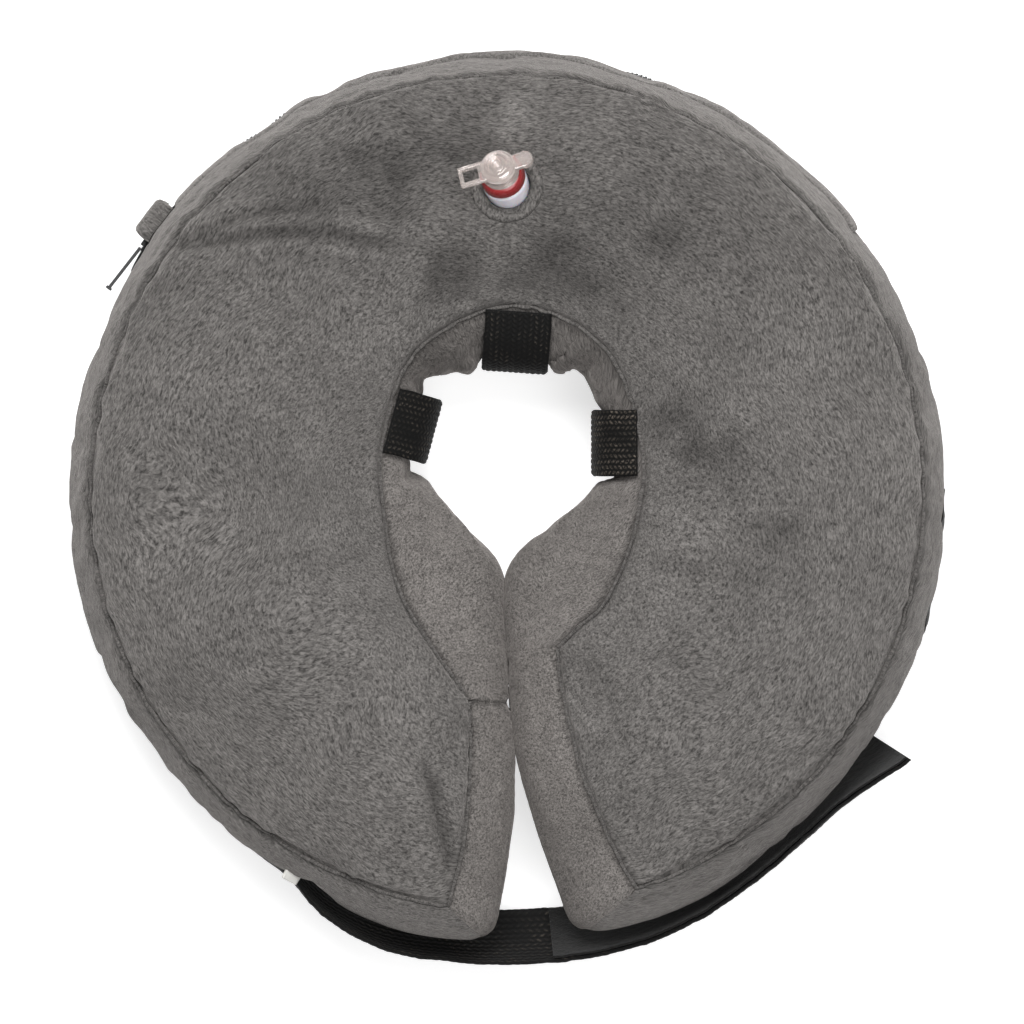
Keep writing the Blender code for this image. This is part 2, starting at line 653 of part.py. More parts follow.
def make_valve():
    """Flange and patch flat on the collar, then the leaning stem on its own axis."""
    top = MIDDLE_Z + HALF_SEAM + FRONT_RISE
    film_top = top - BLADDER_DEPTH
    flange = [(5.2, 1.0), (8.8, 1.0), (9.2, 0.7), (9.2, 0.0), (3.4, 0.0), (3.4, 1.0)]
    turned("valve_flange", flange, "valve_white", RING).location = (
        *VALVE_PLACE, film_top + CLEARANCE)
    patch = [(11.2, 1.0), (13.4, 1.0), (13.8, 0.5), (13.8, 0.0), (11.0, 0.0), (11.0, 0.7)]
    turned("valve_patch", patch, "velour", RING).location = (*VALVE_PLACE, top + CLEARANCE)
    lean = (Matrix.Rotation(math.radians(VALVE_LEAN_TOWARDS), 4, "Z")
            @ Matrix.Rotation(math.radians(VALVE_LEAN), 4, "Y")
            @ Matrix.Rotation(math.radians(WING_TURN - VALVE_LEAN_TOWARDS), 4, "Z"))
    axis = add_empty("valve_axis", RING, (*VALVE_PLACE, top - 1.2 * MM), lean.to_euler())
    body = [(7.2, 5.6), (8.2, 5.2), (8.6, 4.4), (8.6, -8.0), (4.0, -8.0), (4.0, 5.6)]
    body_obj = turned("valve_body", body, "valve_white", axis)
    below = add_object("below_flange", box("below_flange", (60 * MM, 60 * MM, 20 * MM)), "valve_white",
                       RING, (*VALVE_PLACE, film_top + 1.0 * MM + 2 * CLEARANCE - 10 * MM))
    boolean(body_obj, "DIFFERENCE", as_cutter(below))
    seat = [(7.6, 9.4), (8.4, 8.9), (8.4, 6.4), (7.9, 5.9), (6.2, 5.9), (6.2, 9.4)]
    turned("valve_seat_ring", seat, "valve_red", axis)
    neck = [(5.4, 13.6), (5.8, 13.3), (5.8, 11.8), (6.8, 11.4), (6.8, 9.7), (3.2, 9.7), (3.2, 13.6)]
    turned("valve_neck", neck, "valve_clear", axis)
    stem = [(0, 13.8), (2.6, 13.8), (2.6, 7.5), (0, 7.5)]
    turned("valve_stem", stem, "valve_clear", axis)
    seal = [(0, 7.2), (4.7, 7.2), (5.1, 6.9), (5.1, 6.2), (4.7, 5.9), (0, 5.9)]
    turned("valve_seal", seal, "seal_rubber", axis)
    make_cap(axis)


def make_cap(axis):
    """Clear winged cap: a square paddle one side, a rounded ribbed wing the other."""
    profile = [(0, 17.6), (1.4, 17.6), (1.7, 18.7), (3.4, 18.7), (3.8, 18.3), (3.8, 17.5),
               (5.4, 17.2), (6.0, 16.7), (6.0, 14.4), (5.7, 14.1), (0, 14.1)]
    cap = turned("valve_cap", profile, "valve_clear", axis)
    wing_z = 15.3 * MM
    paddle = add_object("cap_paddle", box("cap_paddle", (10.5 * MM, 7.5 * MM, 1.9 * MM), 0.4 * MM),
                        "valve_clear", axis, (-9.9 * MM, 0, wing_z))
    wing = add_object("cap_wing", box("cap_wing", (9 * MM, 5.3 * MM, 1.9 * MM), 0.5 * MM),
                      "valve_clear", axis, (8.6 * MM, 0, wing_z))
    for part in (paddle, wing):
        boolean(cap, "UNION", as_cutter(part))
    for step in range(3):
        rib = add_object("cap_rib_%d" % step, box("cap_rib", (0.8 * MM, 3.4 * MM, 1.2 * MM)),
                         "valve_clear", axis, ((8.0 + 1.7 * step) * MM, 0, wing_z + 0.8 * MM))
        boolean(cap, "UNION", as_cutter(rib))
    window = add_object("paddle_window", box("paddle_window", (5.5 * MM, 4.2 * MM, 1.4 * MM)),
                        "valve_clear", axis, (-10.6 * MM, 0, wing_z + 1.1 * MM))
    boolean(cap, "DIFFERENCE", as_cutter(window))


clear_scene()
COLLAR = new_collection("recovery_collar")
CUTTERS = new_collection("cutters")
RING = add_empty("ring_centre", None, RING_SHIFT)
make_cover()
make_bladder()
make_zip()
make_loops()
make_strap()
make_valve()
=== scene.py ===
"""Looks of the inflatable plush recovery collar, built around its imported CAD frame.

The plush cover starts as one closed C-shaped skin. Cloth simulation swells it, it is
refined, creased and puckered, and then split along its seams into the sewn pieces.
Webbing, tapes, zip, label and valve are modelled directly on the same sizes as the CAD
model's. Lengths are in metres, in the frame's own coordinates.
"""
import contextlib
import itertools
import math

import bmesh
import bpy
import numpy as np
from mathutils import Matrix, Vector


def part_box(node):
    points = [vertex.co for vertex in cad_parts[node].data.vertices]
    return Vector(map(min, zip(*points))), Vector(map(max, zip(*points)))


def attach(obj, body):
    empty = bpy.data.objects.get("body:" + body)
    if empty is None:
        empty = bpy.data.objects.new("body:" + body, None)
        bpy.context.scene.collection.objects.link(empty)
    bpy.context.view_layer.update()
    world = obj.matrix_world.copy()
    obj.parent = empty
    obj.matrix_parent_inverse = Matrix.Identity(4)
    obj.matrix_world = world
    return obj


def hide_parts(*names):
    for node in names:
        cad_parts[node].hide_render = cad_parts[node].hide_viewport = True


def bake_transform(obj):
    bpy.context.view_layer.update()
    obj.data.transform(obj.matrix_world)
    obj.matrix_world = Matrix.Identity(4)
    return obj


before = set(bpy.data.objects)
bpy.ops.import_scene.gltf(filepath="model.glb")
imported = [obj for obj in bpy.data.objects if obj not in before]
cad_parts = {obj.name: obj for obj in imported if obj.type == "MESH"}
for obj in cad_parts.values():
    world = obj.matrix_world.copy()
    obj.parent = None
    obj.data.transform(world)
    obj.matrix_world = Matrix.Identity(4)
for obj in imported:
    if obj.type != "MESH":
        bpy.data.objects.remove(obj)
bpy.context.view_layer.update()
MM = 0.001

# ---------------------------------------------------------------- driving sizes
# The collar's plan, from the ring's own centre, as in the CAD model.
TOP_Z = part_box("front_panel")[1].z
MIDDLE_Z = 38 * MM              # half way up the walls
HALF_SEAM = 26 * MM             # from there to the seams of the panels
FRONT_RISE = TOP_Z - MIDDLE_Z - HALF_SEAM
BACK_RISE = 14.5 * MM
CENTRE = np.array((-0.83 * MM, 2.89 * MM))      # the ring's centre in the frame
SEAM_CENTRE_Y = 3 * MM
SEAM_RADIUS = 157.5 * MM
WALL_CENTRE_Y = 1.5 * MM
WALL_RADIUS = 165.0 * MM        # of the outer wall at its most bulging line
START_ANGLE = 262.0             # the left slit corner, degrees from +X
RING_SWEEP = 334.0              # clockwise from there to the right slit corner
CORNER_SPAN = 0.06              # spans are shares of the ring
DOME_SPAN = 0.07
BOW_SPAN = 0.12
LEFT_SLIT_BOW = 3.5 * MM
RIGHT_SLIT_BOW = -6 * MM
WALL_ROUNDNESS = 2.4            # powers: 2 is a parabola, more is flatter in the middle
DOME_ROUNDNESS = 2.6
# Neck seam and the most bulging line of the neck wall, paired, in millimetres.
NECK_KNOTS = [
    ((-13, -75), (0.2, -77)), ((-29, -53), (-1.4, -48)), ((-40, -34), (-4.0, -25)),
    ((-45.5, -8), (-23, -3.5)), ((-46, 22), (-39, 21)), ((-33, 56), (-26, 49)),
    ((2, 72), (2, 58)), ((36, 57), (29.5, 50)), ((50, 20), (42.5, 20)),
    ((48, -10), (29.5, 0)), ((38, -36), (4.0, -22)), ((28, -46), (-0.2, -39)),
    ((18, -55), (0.1, -57)),
]
LEFT_SLIT_KNOTS = [(0.2, -77), (2.9, -98), (1.6, -125), (-5, -168)]
RIGHT_SLIT_KNOTS = [(0.1, -57), (3.2, -93), (10.6, -122), (26, -166)]

# Mesh of the skin: steps along the ring, across a panel and down a wall, then refined.
SKIN_STEPS = (190, 30, 15)
REFINE = 3
END_CROWDING = 0.35             # how much the steps crowd at the slit
SEAM_CROWDING = 0.5             # how much the steps crowd at a panel's seams
WELD_GAP = 0.001 * MM           # points this near each other are one
COVER_THICKNESS = 2.0 * MM
LOWEST_OUTSIDE = 0.1 * MM       # the plush lies no lower than this over the floor
LOWEST_INSIDE = 1.2 * MM
BLADDER_DEPTH = 6.5 * MM        # how far the bladder lies inside the cover's outside
CORNER_ROUNDING = 16            # smoothing passes over the slit's corners
CORNER_REACH = 7                # mesh steps from the corner that they act on
CORNER_SWELL = 3.0 * MM         # how far the outer wall fills out beside the slit
CORNER_SWELL_SPAN = 0.055

# Relief of the plush.
NOISE_CELLS = 64                # cells of the noise before it repeats
GROOVE_DEPTH = 2.1 * MM         # of the sunk seams
GROOVE_WIDTH = 1.9 * MM
RIDGE_RADIUS = 0.62 * MM        # of the rolled seam allowance that shows in the groove
RIDGE_SINK = 1.35 * MM
RIDGE_SIDES = 10
# Painted shade on the seam cord, which lies down in the groove.
RIDGE_SHADE = 0.8
WISP_HEIGHT = 0.4 * MM
WISP_SIZE = 3.2 * MM
WISP_STRETCH = 0.14
PUCKER_HEIGHT = 0.6 * MM        # of the gathers beside a seam
PUCKER_LENGTH = 7 * MM
PUCKER_PITCH = 6 * MM
PUCKER_GAP = 2 * MM             # how far from the seam they start
FINE_PUCKERS = (0.6, 2.2)       # their height's share, and how many times finer they are
SAME_SIDE = 20 * MM             # a seam within this distance all along a panel runs along it
LUMP_HEIGHT = 0.7 * MM
LUMP_SIZE = 38 * MM
FINE_LUMPS = (0.4, 3)
TUFT_HEIGHT = 0.12 * MM
TUFT_SIZE = 2.4 * MM
# Creases and soft folds of the front panel: points in millimetres, depth, half width.
FRONT_CREASES = [
    ([(-128, 93), (-110, 102), (-90, 108), (-59, 110)], 2.0, 2.0),
    ([(-124, 93), (-105, 98), (-78, 100), (-48, 96), (-25, 93)], 2.4, 2.1),
    ([(-24, 94), (-27, 82), (-30, 66)], 1.8, 4.0),
    ([(-18, 72), (-18, 86), (-16, 102)], 1.5, 4.5),
    ([(-3, 130), (3, 142), (4, 156)], -1.6, 6.0),
    ([(-31, -98), (-27, -112), (-23, -130), (-19, -150)], 2.6, 2.8),
    ([(40, 60), (52, 74), (66, 82)], 0.8, 5.0),
    ([(52, -20), (66, -26), (84, -28)], 0.7, 5.0),
    ([(26, -60), (38, -74), (46, -92)], 0.7, 5.0),
    ([(-52, -20), (-68, -24), (-90, -20)], 0.6, 5.0),
]
# Folds that run down the neck wall: plan place in millimetres, depth, half width.
NECK_FOLDS = [
    ((-25, 62), -7.5, 9), ((28, 61), -7.5, 9), ((43, 45), -2.5, 8),
    ((-11, 69), 1.5, 2.4), ((-18, 66), 0.7, 2.6), ((-38, 47), 2.4, 3.0), ((-31, 57), 0.8, 3.0),
    ((17, 69), 0.5, 4.0), ((34, 58), 1.0, 3.4), ((48, 4), 1.8, 3.0), ((-45.5, 10), 1.8, 3.0),
    ((43, -24), 0.5, 4.0),
]
# Places where a band is pressed into the outer wall: ring angles, heights and depth.
PRESSED = [((200, 245), (7, 49), 3.6), ((296, 355), (13, 40), 1.0)]
PRESSED_EDGE = 3.0              # over how many degrees and millimetres its edges ease
CREASE_START = 0.15             # shares of a crease's length that its ends taper over
CREASE_END = 0.35
CREASE_LEAST = 0.15
CREASE_STEPS = 24
# Raised lips beside a crease or a fold: share of its depth, place and width in half widths.
CREASE_LIP = (0.4, 2.3, 1.3)
FOLD_LIP = (0.35, 2.2, 1.4)
FOLD_LEAN = 3 * MM              # how far a fold wanders as it runs down the neck wall
# Places where the pile is brushed dark: plan place and radius in millimetres, strength.
DARK_PATCHES = [
    ((31, 81), 10, 0.42), ((62, 31), 11, 0.46), ((76, 18), 9, 0.42), ((103, -11), 8, 0.42),
    ((56, 98), 9, 0.38), ((-44, 124), 15, 0.34), ((-75, 112), 18, 0.26), ((22, 97), 9, 0.34),
    ((-112, 20), 24, 0.10), ((-19, 84), 9, 0.36), ((80, 58), 9, 0.16), ((58, -60), 12, 0.14),
    ((-52, 130), 9, 0.20), ((8, 84), 9, 0.20), ((40, 108), 10, 0.16), ((88, 12), 9, 0.18),
    ((-118, -70), 12, 0.12), ((-14, 132), 9, 0.16), ((66, 118), 10, 0.14), ((94, -30), 10, 0.14),
]

# Swelling of the cover: cloth settings, how firmly its seams and its resting points are held,
# frames, and how far each panel's points may move.
CLOTH = {
    "quality": 4, "mass": 0.25, "tension_stiffness": 12, "compression_stiffness": 12,
    "shear_stiffness": 6, "bending_stiffness": 0.2, "use_pressure": True,
    "uniform_pressure_force": 2.0, "shrink_min": -0.012, "pin_stiffness": 0.6,
}
SEAM_HOLD = 0.6
RESTING_HOLD = 1.0
RESTING_HEIGHT = 0.5 * MM
SWELL_FRAMES = 18
SWELL_CAP = {"front": 2.6 * MM, "back": 2.6 * MM, "outer": 0.7 * MM, "neck": 0.8 * MM,
             "slit_left": 0.5 * MM, "slit_right": 0.5 * MM}

# Camera and light: each lamp's place, size and energy.
CAMERA_PLACE = (1.1 * MM, -1.6 * MM)
CAMERA_DISTANCE = 5.0
VIEW_WIDTH = 0.387              # metres across the picture, half way up the walls
SENSOR = 36.0                   # millimetres
LAMPS = {"key_light": ((-0.15, 0.85, 1.6), 0.9, 34), "fill_light": ((0.5, -0.4, 1.8), 1.2, 18)}
WORLD_STRENGTH = 0.24
FLOOR_REACH = 3                 # metres from the middle to its edges
FLOOR_GLOW = 0.62


# ---------------------------------------------------------------- shape helpers
def through(knots, t):
    """Smooth (Catmull-Rom) curve through the knots, for an array of parameters."""
    knots = np.asarray(knots, float)
    t = np.atleast_1d(np.asarray(t, float))
    index = np.clip(t.astype(int), 0, len(knots) - 2)
    local = (t - index).reshape((-1,) + (1,) * (knots.ndim - 1))
    padded = np.concatenate(([2 * knots[0] - knots[1]], knots, [2 * knots[-1] - knots[-2]]))
    before, start, end, after = (padded[index + k] for k in range(4))
    return 0.5 * (2 * start + (end - before) * local
                  + (2 * before - 5 * start + 4 * end - after) * local ** 2
                  + (3 * start - before - 3 * end + after) * local ** 3)


def unit(vectors):
    """Vectors of length one."""
    return vectors / np.maximum(np.linalg.norm(vectors, axis=-1, keepdims=True), 1e-12)


def run_length(points):
    """Length walked along the first axis of an array of points."""
    steps = np.linalg.norm(np.diff(points, axis=0), axis=-1)
    return np.concatenate((np.zeros((1,) + steps.shape[1:]), np.cumsum(steps, axis=0)))


def on_circle(centre_y, radius, degrees):
    """Points on a circle centred on the ring's Y axis."""
    turn = np.radians(np.asarray(degrees, float))
    return np.stack((radius * np.cos(turn), centre_y + radius * np.sin(turn)), axis=-1)


def fade(distance, span):
    """1 at no distance, easing to 0 at the span."""
    return np.clip(1 - np.asarray(distance) / span, 0, None) ** 2


def ease(share):
    """Share held between 0 and 1, with a soft start and end."""
    share = np.clip(share, 0, 1)
    return share * share * (3 - 2 * share)


def bell(distance, width):
    """1 at no distance, falling off smoothly over about the width."""
    return np.exp(-(distance / width) ** 2)


def soft_noise(points, size, seed):
    """Smooth noise from -1 to 1 at each point, with lumps about the size across."""
    table = np.random.default_rng(seed).uniform(-1, 1, (NOISE_CELLS,) * 3)
    scaled = np.asarray(points, float) / size
    cell = np.floor(scaled).astype(int)
    part = ease(scaled - cell)
    total = np.zeros(scaled.shape[:-1])
    for corner in itertools.product((0, 1), repeat=3):
        index = np.moveaxis((cell + corner) % NOISE_CELLS, -1, 0)
        weight = np.prod(np.where(np.array(corner) == 1, part, 1 - part), axis=-1)
        total += table[tuple(index)] * weight
    return total


def line_noise(distance, size, seed):
    """Smooth noise along one length."""
    distance = np.asarray(distance, float)
    return soft_noise(np.stack((distance, 0 * distance, 0 * distance), axis=-1), size, seed)


# ---------------------------------------------------------------- the collar's plan
NECK_SEAM = np.array([seam for seam, wall in NECK_KNOTS]) * MM
NECK_WALL = np.array([wall for seam, wall in NECK_KNOTS]) * MM
LEFT_SLIT = np.array(LEFT_SLIT_KNOTS) * MM
RIGHT_SLIT = np.array(RIGHT_SLIT_KNOTS) * MM
neck_knot_steps = np.linspace(0, len(NECK_SEAM) - 1, 600)
neck_run = run_length(through(NECK_SEAM, neck_knot_steps))


def neck_parameter(u):
    """Knot parameter at share u of the neck seam's length."""
    return np.interp(np.asarray(u) * neck_run[-1], neck_run, neck_knot_steps)


def ring_angle(u):
    """Angle of the outer seam at share u of the ring."""
    return START_ANGLE - RING_SWEEP * np.asarray(u)


def plan(u, v):
    """Plan points of a panel: u along the ring, v from neck to outer seam."""
    u, v = np.broadcast_arrays(np.asarray(u, float), np.asarray(v, float))
    flat_u, flat_v = u.ravel(), v.ravel()
    neck = through(NECK_SEAM, neck_parameter(flat_u))
    outer = on_circle(SEAM_CENTRE_Y, SEAM_RADIUS, ring_angle(flat_u))
    bow = LEFT_SLIT_BOW * fade(flat_u, BOW_SPAN) + RIGHT_SLIT_BOW * fade(1 - flat_u, BOW_SPAN)
    points = neck + (outer - neck) * flat_v[:, None]
    points[:, 0] += bow * 4 * flat_v * (1 - flat_v)
    return points.reshape(u.shape + (2,))


def outer_wall(u):
    """The outer wall's most bulging line, rounded into the slit's corners."""
    point = on_circle(WALL_CENTRE_Y, WALL_RADIUS, ring_angle(u))
    left = LEFT_SLIT[-1] - on_circle(WALL_CENTRE_Y, WALL_RADIUS, ring_angle(0.0))
    right = RIGHT_SLIT[-1] - on_circle(WALL_CENTRE_Y, WALL_RADIUS, ring_angle(1.0))
    from_end = np.minimum(np.minimum(u, 1 - u) / CORNER_SWELL_SPAN, 1)
    swell = CORNER_SWELL * np.sin(np.pi * from_end)
    return (point * (1 + swell / WALL_RADIUS)[:, None] + left * fade(u, CORNER_SPAN)[:, None]
            + right * fade(1 - u, CORNER_SPAN)[:, None])


def dome(u, v):
    """How far a panel is domed, from 0 at its seams to 1."""
    across = 1 - np.abs(2 * v - 1) ** DOME_ROUNDNESS
    from_end = np.minimum(np.minimum(u, 1 - u), DOME_SPAN) / DOME_SPAN
    return across * (1 - (1 - from_end) ** DOME_ROUNDNESS)


def bulge(w):
    """How far a wall bulges, from 0 at its seams to 1 half way down."""
    return 1 - np.abs(2 * w - 1) ** WALL_ROUNDNESS


def crowded(count, amount):
    """Even shares from 0 to 1, crowded towards both ends."""
    share = np.linspace(0, 1, count + 1)
    return share - amount * np.sin(2 * np.pi * share) / (2 * np.pi)


# ---------------------------------------------------------------- the swollen skin
class Skin:
    """The whole cover's outside as one closed mesh, with each panel's grid of indices."""

    def __init__(self):
        along, across, down = SKIN_STEPS
        self.points = []
        self.grids = {}
        self.u = crowded(along, END_CROWDING)
        self.v = crowded(across, SEAM_CROWDING)
        self.w = np.linspace(0, 1, down + 1)
        self.make_panels()
        self.make_walls()
        self.make_slit_walls()
        self.co = np.array(self.points)

    def add(self, points):
        """Store a block of points and return their indices in the same shape."""
        first = len(self.points)
        flat = points.reshape(-1, 3)
        self.points.extend(flat)
        return np.arange(first, first + len(flat)).reshape(points.shape[:-1])

    def make_panels(self):
        """Front panel and back panel, seams included."""
        u, v = np.meshgrid(self.u, self.v, indexing="ij")
        flat = plan(u, v) + CENTRE
        rise = dome(u, v)
        front = MIDDLE_Z + HALF_SEAM + FRONT_RISE * rise
        back = np.maximum(MIDDLE_Z - HALF_SEAM - BACK_RISE * rise, 0.0)
        self.grids["front"] = self.add(np.dstack((flat, front)))
        self.grids["back"] = self.add(np.dstack((flat, back)))

    def wall(self, base, most, front_row, back_row):
        """A wall's grid between two seam rows that are there already."""
        w = self.w[1:-1]
        share = bulge(w)[None, :, None]
        flat = base[:, None, :] + (most - base)[:, None, :] * share + CENTRE
        height = np.broadcast_to(MIDDLE_Z + HALF_SEAM * (1 - 2 * w), flat.shape[:2])
        inner = self.add(np.dstack((flat, height)))
        return np.hstack((front_row[:, None], inner, back_row[:, None]))

    def make_walls(self):
        """Outer wall and neck wall, the slit's corners included."""
        front, back = self.grids["front"], self.grids["back"]
        outer_base = plan(self.u, np.ones_like(self.u))
        neck_base = plan(self.u, np.zeros_like(self.u))
        neck_most = through(NECK_WALL, neck_parameter(self.u))
        self.grids["outer"] = self.wall(outer_base, outer_wall(self.u), front[:, -1], back[:, -1])
        self.grids["neck"] = self.wall(neck_base, neck_most, front[:, 0], back[:, 0])

    def make_slit_walls(self):
        """The slit's two walls, between rows of the panels and the other walls."""
        for name, row, knots in (("slit_left", 0, LEFT_SLIT), ("slit_right", -1, RIGHT_SLIT)):
            base = plan(np.full_like(self.v, 0.0 if row == 0 else 1.0), self.v)
            most = through(knots, self.v * (len(knots) - 1))
            v = slice(1, -1)
            grid = self.wall(base[v], most[v], self.grids["front"][row, v],
                             self.grids["back"][row, v])
            self.grids[name] = np.vstack((self.grids["neck"][row][None, :], grid,
                                          self.grids["outer"][row][None, :]))

    def round_corners(self):
        """Round the walls at the slit's corners, between the panels' seams."""
        share = bulge(self.w)[1:-1, None]
        reach = np.arange(-CORNER_REACH, CORNER_REACH + 1)
        for wall_name, slit_name, row in (("outer", "slit_left", 0), ("outer", "slit_right", -1),
                                          ("neck", "slit_left", 0), ("neck", "slit_right", -1)):
            beside = self.grids[wall_name]
            slit = self.grids[slit_name]
            slit = slit[::-1] if wall_name == "outer" else slit
            near = beside[CORNER_REACH:0:-1] if row == 0 else beside[-CORNER_REACH - 1:-1]
            path = np.vstack((near, slit[:CORNER_REACH + 1]))[:, 1:-1]
            weight = 0.5 * fade(np.abs(reach), CORNER_REACH + 1)[1:-1, None, None] * share
            for _ in range(CORNER_ROUNDING):
                co = self.co[path]
                middle = (co[:-2] + co[2:]) / 2
                self.co[path[1:-1]] += (middle - co[1:-1]) * weight

    def faces(self):
        """Quads of the whole skin."""
        return np.vstack([quads(grid) for grid in self.grids.values()]).tolist()


def quads(grid):
    """Quads over a grid of indices."""
    return np.stack((grid[:-1, :-1], grid[1:, :-1], grid[1:, 1:], grid[:-1, 1:]),
                    axis=-1).reshape(-1, 4)


def add_object(name, data):
    """Object in the scene, of a mesh, lamp or camera."""
    obj = bpy.data.objects.new(name, data)
    bpy.context.scene.collection.objects.link(obj)
    return obj


def built(name, work):
    """Object of a bmesh, which is freed."""
    mesh = bpy.data.meshes.new(name)
    work.to_mesh(mesh)
    work.free()
    return add_object(name, mesh)


@contextlib.contextmanager
def editing(obj):
    """Bmesh of an object, written back at the end."""
    work = bmesh.new()
    work.from_mesh(obj.data)
    yield work
    work.to_mesh(obj.data)
    work.free()


def new_mesh_object(name, points, faces):
    """Smooth object of points and faces, with its faces outward."""
    mesh = bpy.data.meshes.new(name)
    mesh.from_pydata(np.asarray(points).tolist(), [], list(faces))
    obj = add_object(name, mesh)
    with editing(obj) as work:
        bmesh.ops.recalc_face_normals(work, faces=work.faces)
    mesh.shade_smooth()
    return obj


def weld(work):
    """Join the points of a bmesh that lie on each other."""
    bmesh.ops.remove_doubles(work, verts=work.verts, dist=WELD_GAP)


def apply_modifier(obj, modifier):
    """Apply one modifier."""
    with bpy.context.temp_override(object=obj, active_object=obj):
        bpy.ops.object.modifier_apply(modifier=modifier.name)


def coordinates(obj):
    """Vertex coordinates of a mesh object."""
    co = np.empty(len(obj.data.vertices) * 3, np.float32)
    obj.data.vertices.foreach_get("co", co)
    return co.reshape(-1, 3).astype(float)


def inflate(skin):
    """Swell the closed skin as cloth, and cap how far any point moves."""
    bag = new_mesh_object("skin_bag", skin.co, skin.faces())
    seams = set()
    for grid in skin.grids.values():
        for row in (grid[0], grid[-1], grid[:, 0], grid[:, -1]):
            seams.update(row.tolist())
    held = bag.vertex_groups.new(name="held")
    held.add(sorted(seams), SEAM_HOLD, "REPLACE")
    resting = np.where(skin.co[:, 2] < RESTING_HEIGHT)[0]
    held.add(resting.tolist(), RESTING_HOLD, "REPLACE")
    cloth = bag.modifiers.new("cloth", "CLOTH")
    for setting, value in CLOTH.items():
        setattr(cloth.settings, setting, value)
    cloth.settings.vertex_group_mass = "held"
    cloth.settings.effector_weights.gravity = 0
    cloth.collision_settings.use_collision = False
    for step in range(1, SWELL_FRAMES + 1):
        bpy.context.scene.frame_set(step)
    graph = bpy.context.evaluated_depsgraph_get()
    swollen = coordinates(bag.evaluated_get(graph))
    bpy.context.scene.frame_set(1)
    bpy.data.objects.remove(bag)
    cap = np.full(len(skin.co), min(SWELL_CAP.values()))
    for name, grid in skin.grids.items():
        cap[grid[1:-1, 1:-1]] = SWELL_CAP[name]
    move = swollen - skin.co
    distance = np.linalg.norm(move, axis=1)
    return skin.co + move * np.minimum(1, cap / np.maximum(distance, 1e-9))[:, None]


# ---------------------------------------------------------------- refined panels
# Rows that two panels share: panel, row or column, and the same of its neighbour.
ALL = slice(None)
SHARED_ROWS = [
    ("front", (ALL, -1), "outer", (ALL, 0)), ("back", (ALL, -1), "outer", (ALL, -1)),
    ("front", (ALL, 0), "neck", (ALL, 0)), ("back", (ALL, 0), "neck", (ALL, -1)),
    ("front", (0, ALL), "slit_left", (ALL, 0)), ("back", (0, ALL), "slit_left", (ALL, -1)),
    ("front", (-1, ALL), "slit_right", (ALL, 0)), ("back", (-1, ALL), "slit_right", (ALL, -1)),
    ("neck", (0, ALL), "slit_left", (0, ALL)), ("outer", (0, ALL), "slit_left", (-1, ALL)),
    ("neck", (-1, ALL), "slit_right", (0, ALL)), ("outer", (-1, ALL), "slit_right", (-1, ALL)),
]
# How deep each side's seam lies, as a share of the groove's depth, and 0 where there is
# none: start and end along the grid, start and end across it.
SEWN_SIDES = {
    "front": (1, 1, 1, 1), "back": (1, 1, 1, 1), "outer": (0, 0, 1, 1), "neck": (0.3, 0, 1, 1),
    "slit_left": (0.3, 0, 1, 1), "slit_right": (0, 0, 1, 1),
}


class Panel:
    """One panel of the cover at full detail, with its outward normals and seam distances."""

    def __init__(self, name, coarse):
        self.name = name
        rows = through(coarse, np.linspace(0, len(coarse) - 1, (len(coarse) - 1) * REFINE + 1))
        turned = rows.swapaxes(0, 1)
        count = (len(turned) - 1) * REFINE + 1
        self.points = through(turned, np.linspace(0, len(turned) - 1, count)).swapaxes(0, 1)
        self.normals = self.outward()
        self.measure()

    def facing(self):
        """A rough outward direction at each point, to tell outside from inside."""
        away = self.points.copy()
        away[..., 2] = 0
        away[..., :2] -= CENTRE
        return {"front": np.array((0, 0, 1.0)), "back": np.array((0, 0, -1.0)),
                "outer": away, "neck": -away, "slit_left": np.array((1.0, 0, 0)),
                "slit_right": np.array((-1.0, 0, 0))}[self.name]

    def outward(self):
        """Unit normals of the grid, pointing out of the collar."""
        along = np.gradient(self.points, axis=0)
        across = np.gradient(self.points, axis=1)
        normals = unit(np.cross(along, across))
        return normals if np.sum(normals * self.facing()) > 0 else -normals

    def measure(self):
        """Distances along the panel and across it, and to each sewn side."""
        self.along = run_length(self.points)
        self.across = run_length(self.points.swapaxes(0, 1)).swapaxes(0, 1)
        sides = (self.along, self.along[-1:] - self.along,
                 self.across, self.across[:, -1:] - self.across)
        self.seams = [side for side, sewn in zip(sides, SEWN_SIDES[self.name]) if sewn]
        self.groove = [GROOVE_DEPTH * sewn for sewn in SEWN_SIDES[self.name] if sewn]

    def nearest_seam(self):
        """Distance of each point to the nearest sewn side."""
        return np.minimum.reduce(self.seams)


def share_normals(panels):
    """Give the points that two panels share one normal, so they move together."""
    for _ in range(2):
        for first, rows, second, other_rows in SHARED_ROWS:
            mean = unit(panels[first].normals[rows] + panels[second].normals[other_rows])
            panels[first].normals[rows] = mean
            panels[second].normals[other_rows] = mean


def crease(plan_points, knots, width):
    """Profile across a crease and its taper towards both ends, at each plan point."""
    line = through(np.array(knots, float) * MM, np.linspace(0, len(knots) - 1, CREASE_STEPS))
    best = np.full(plan_points.shape[:-1], np.inf)
    place = np.zeros_like(best)
    for index in range(len(line) - 1):
        start, step = line[index], line[index + 1] - line[index]
        share = np.clip((plan_points - start) @ step / (step @ step), 0, 1)
        gap = np.linalg.norm(plan_points - start - share[..., None] * step, axis=-1)
        place = np.where(gap < best, (index + share) / (len(line) - 1), place)
        best = np.minimum(best, gap)
    taper = ease(np.minimum(place / CREASE_START, (1 - place) / CREASE_END))
    part, beside, spread = CREASE_LIP
    profile = bell(best, width) - part * bell(best - beside * width, spread * width)
    return profile * np.maximum(taper, CREASE_LEAST)


def between(value, low, high, soft):
    """1 between two values, easing to 0 within the soft margin inside them."""
    return ease(np.minimum(value - low, high - value) / soft)


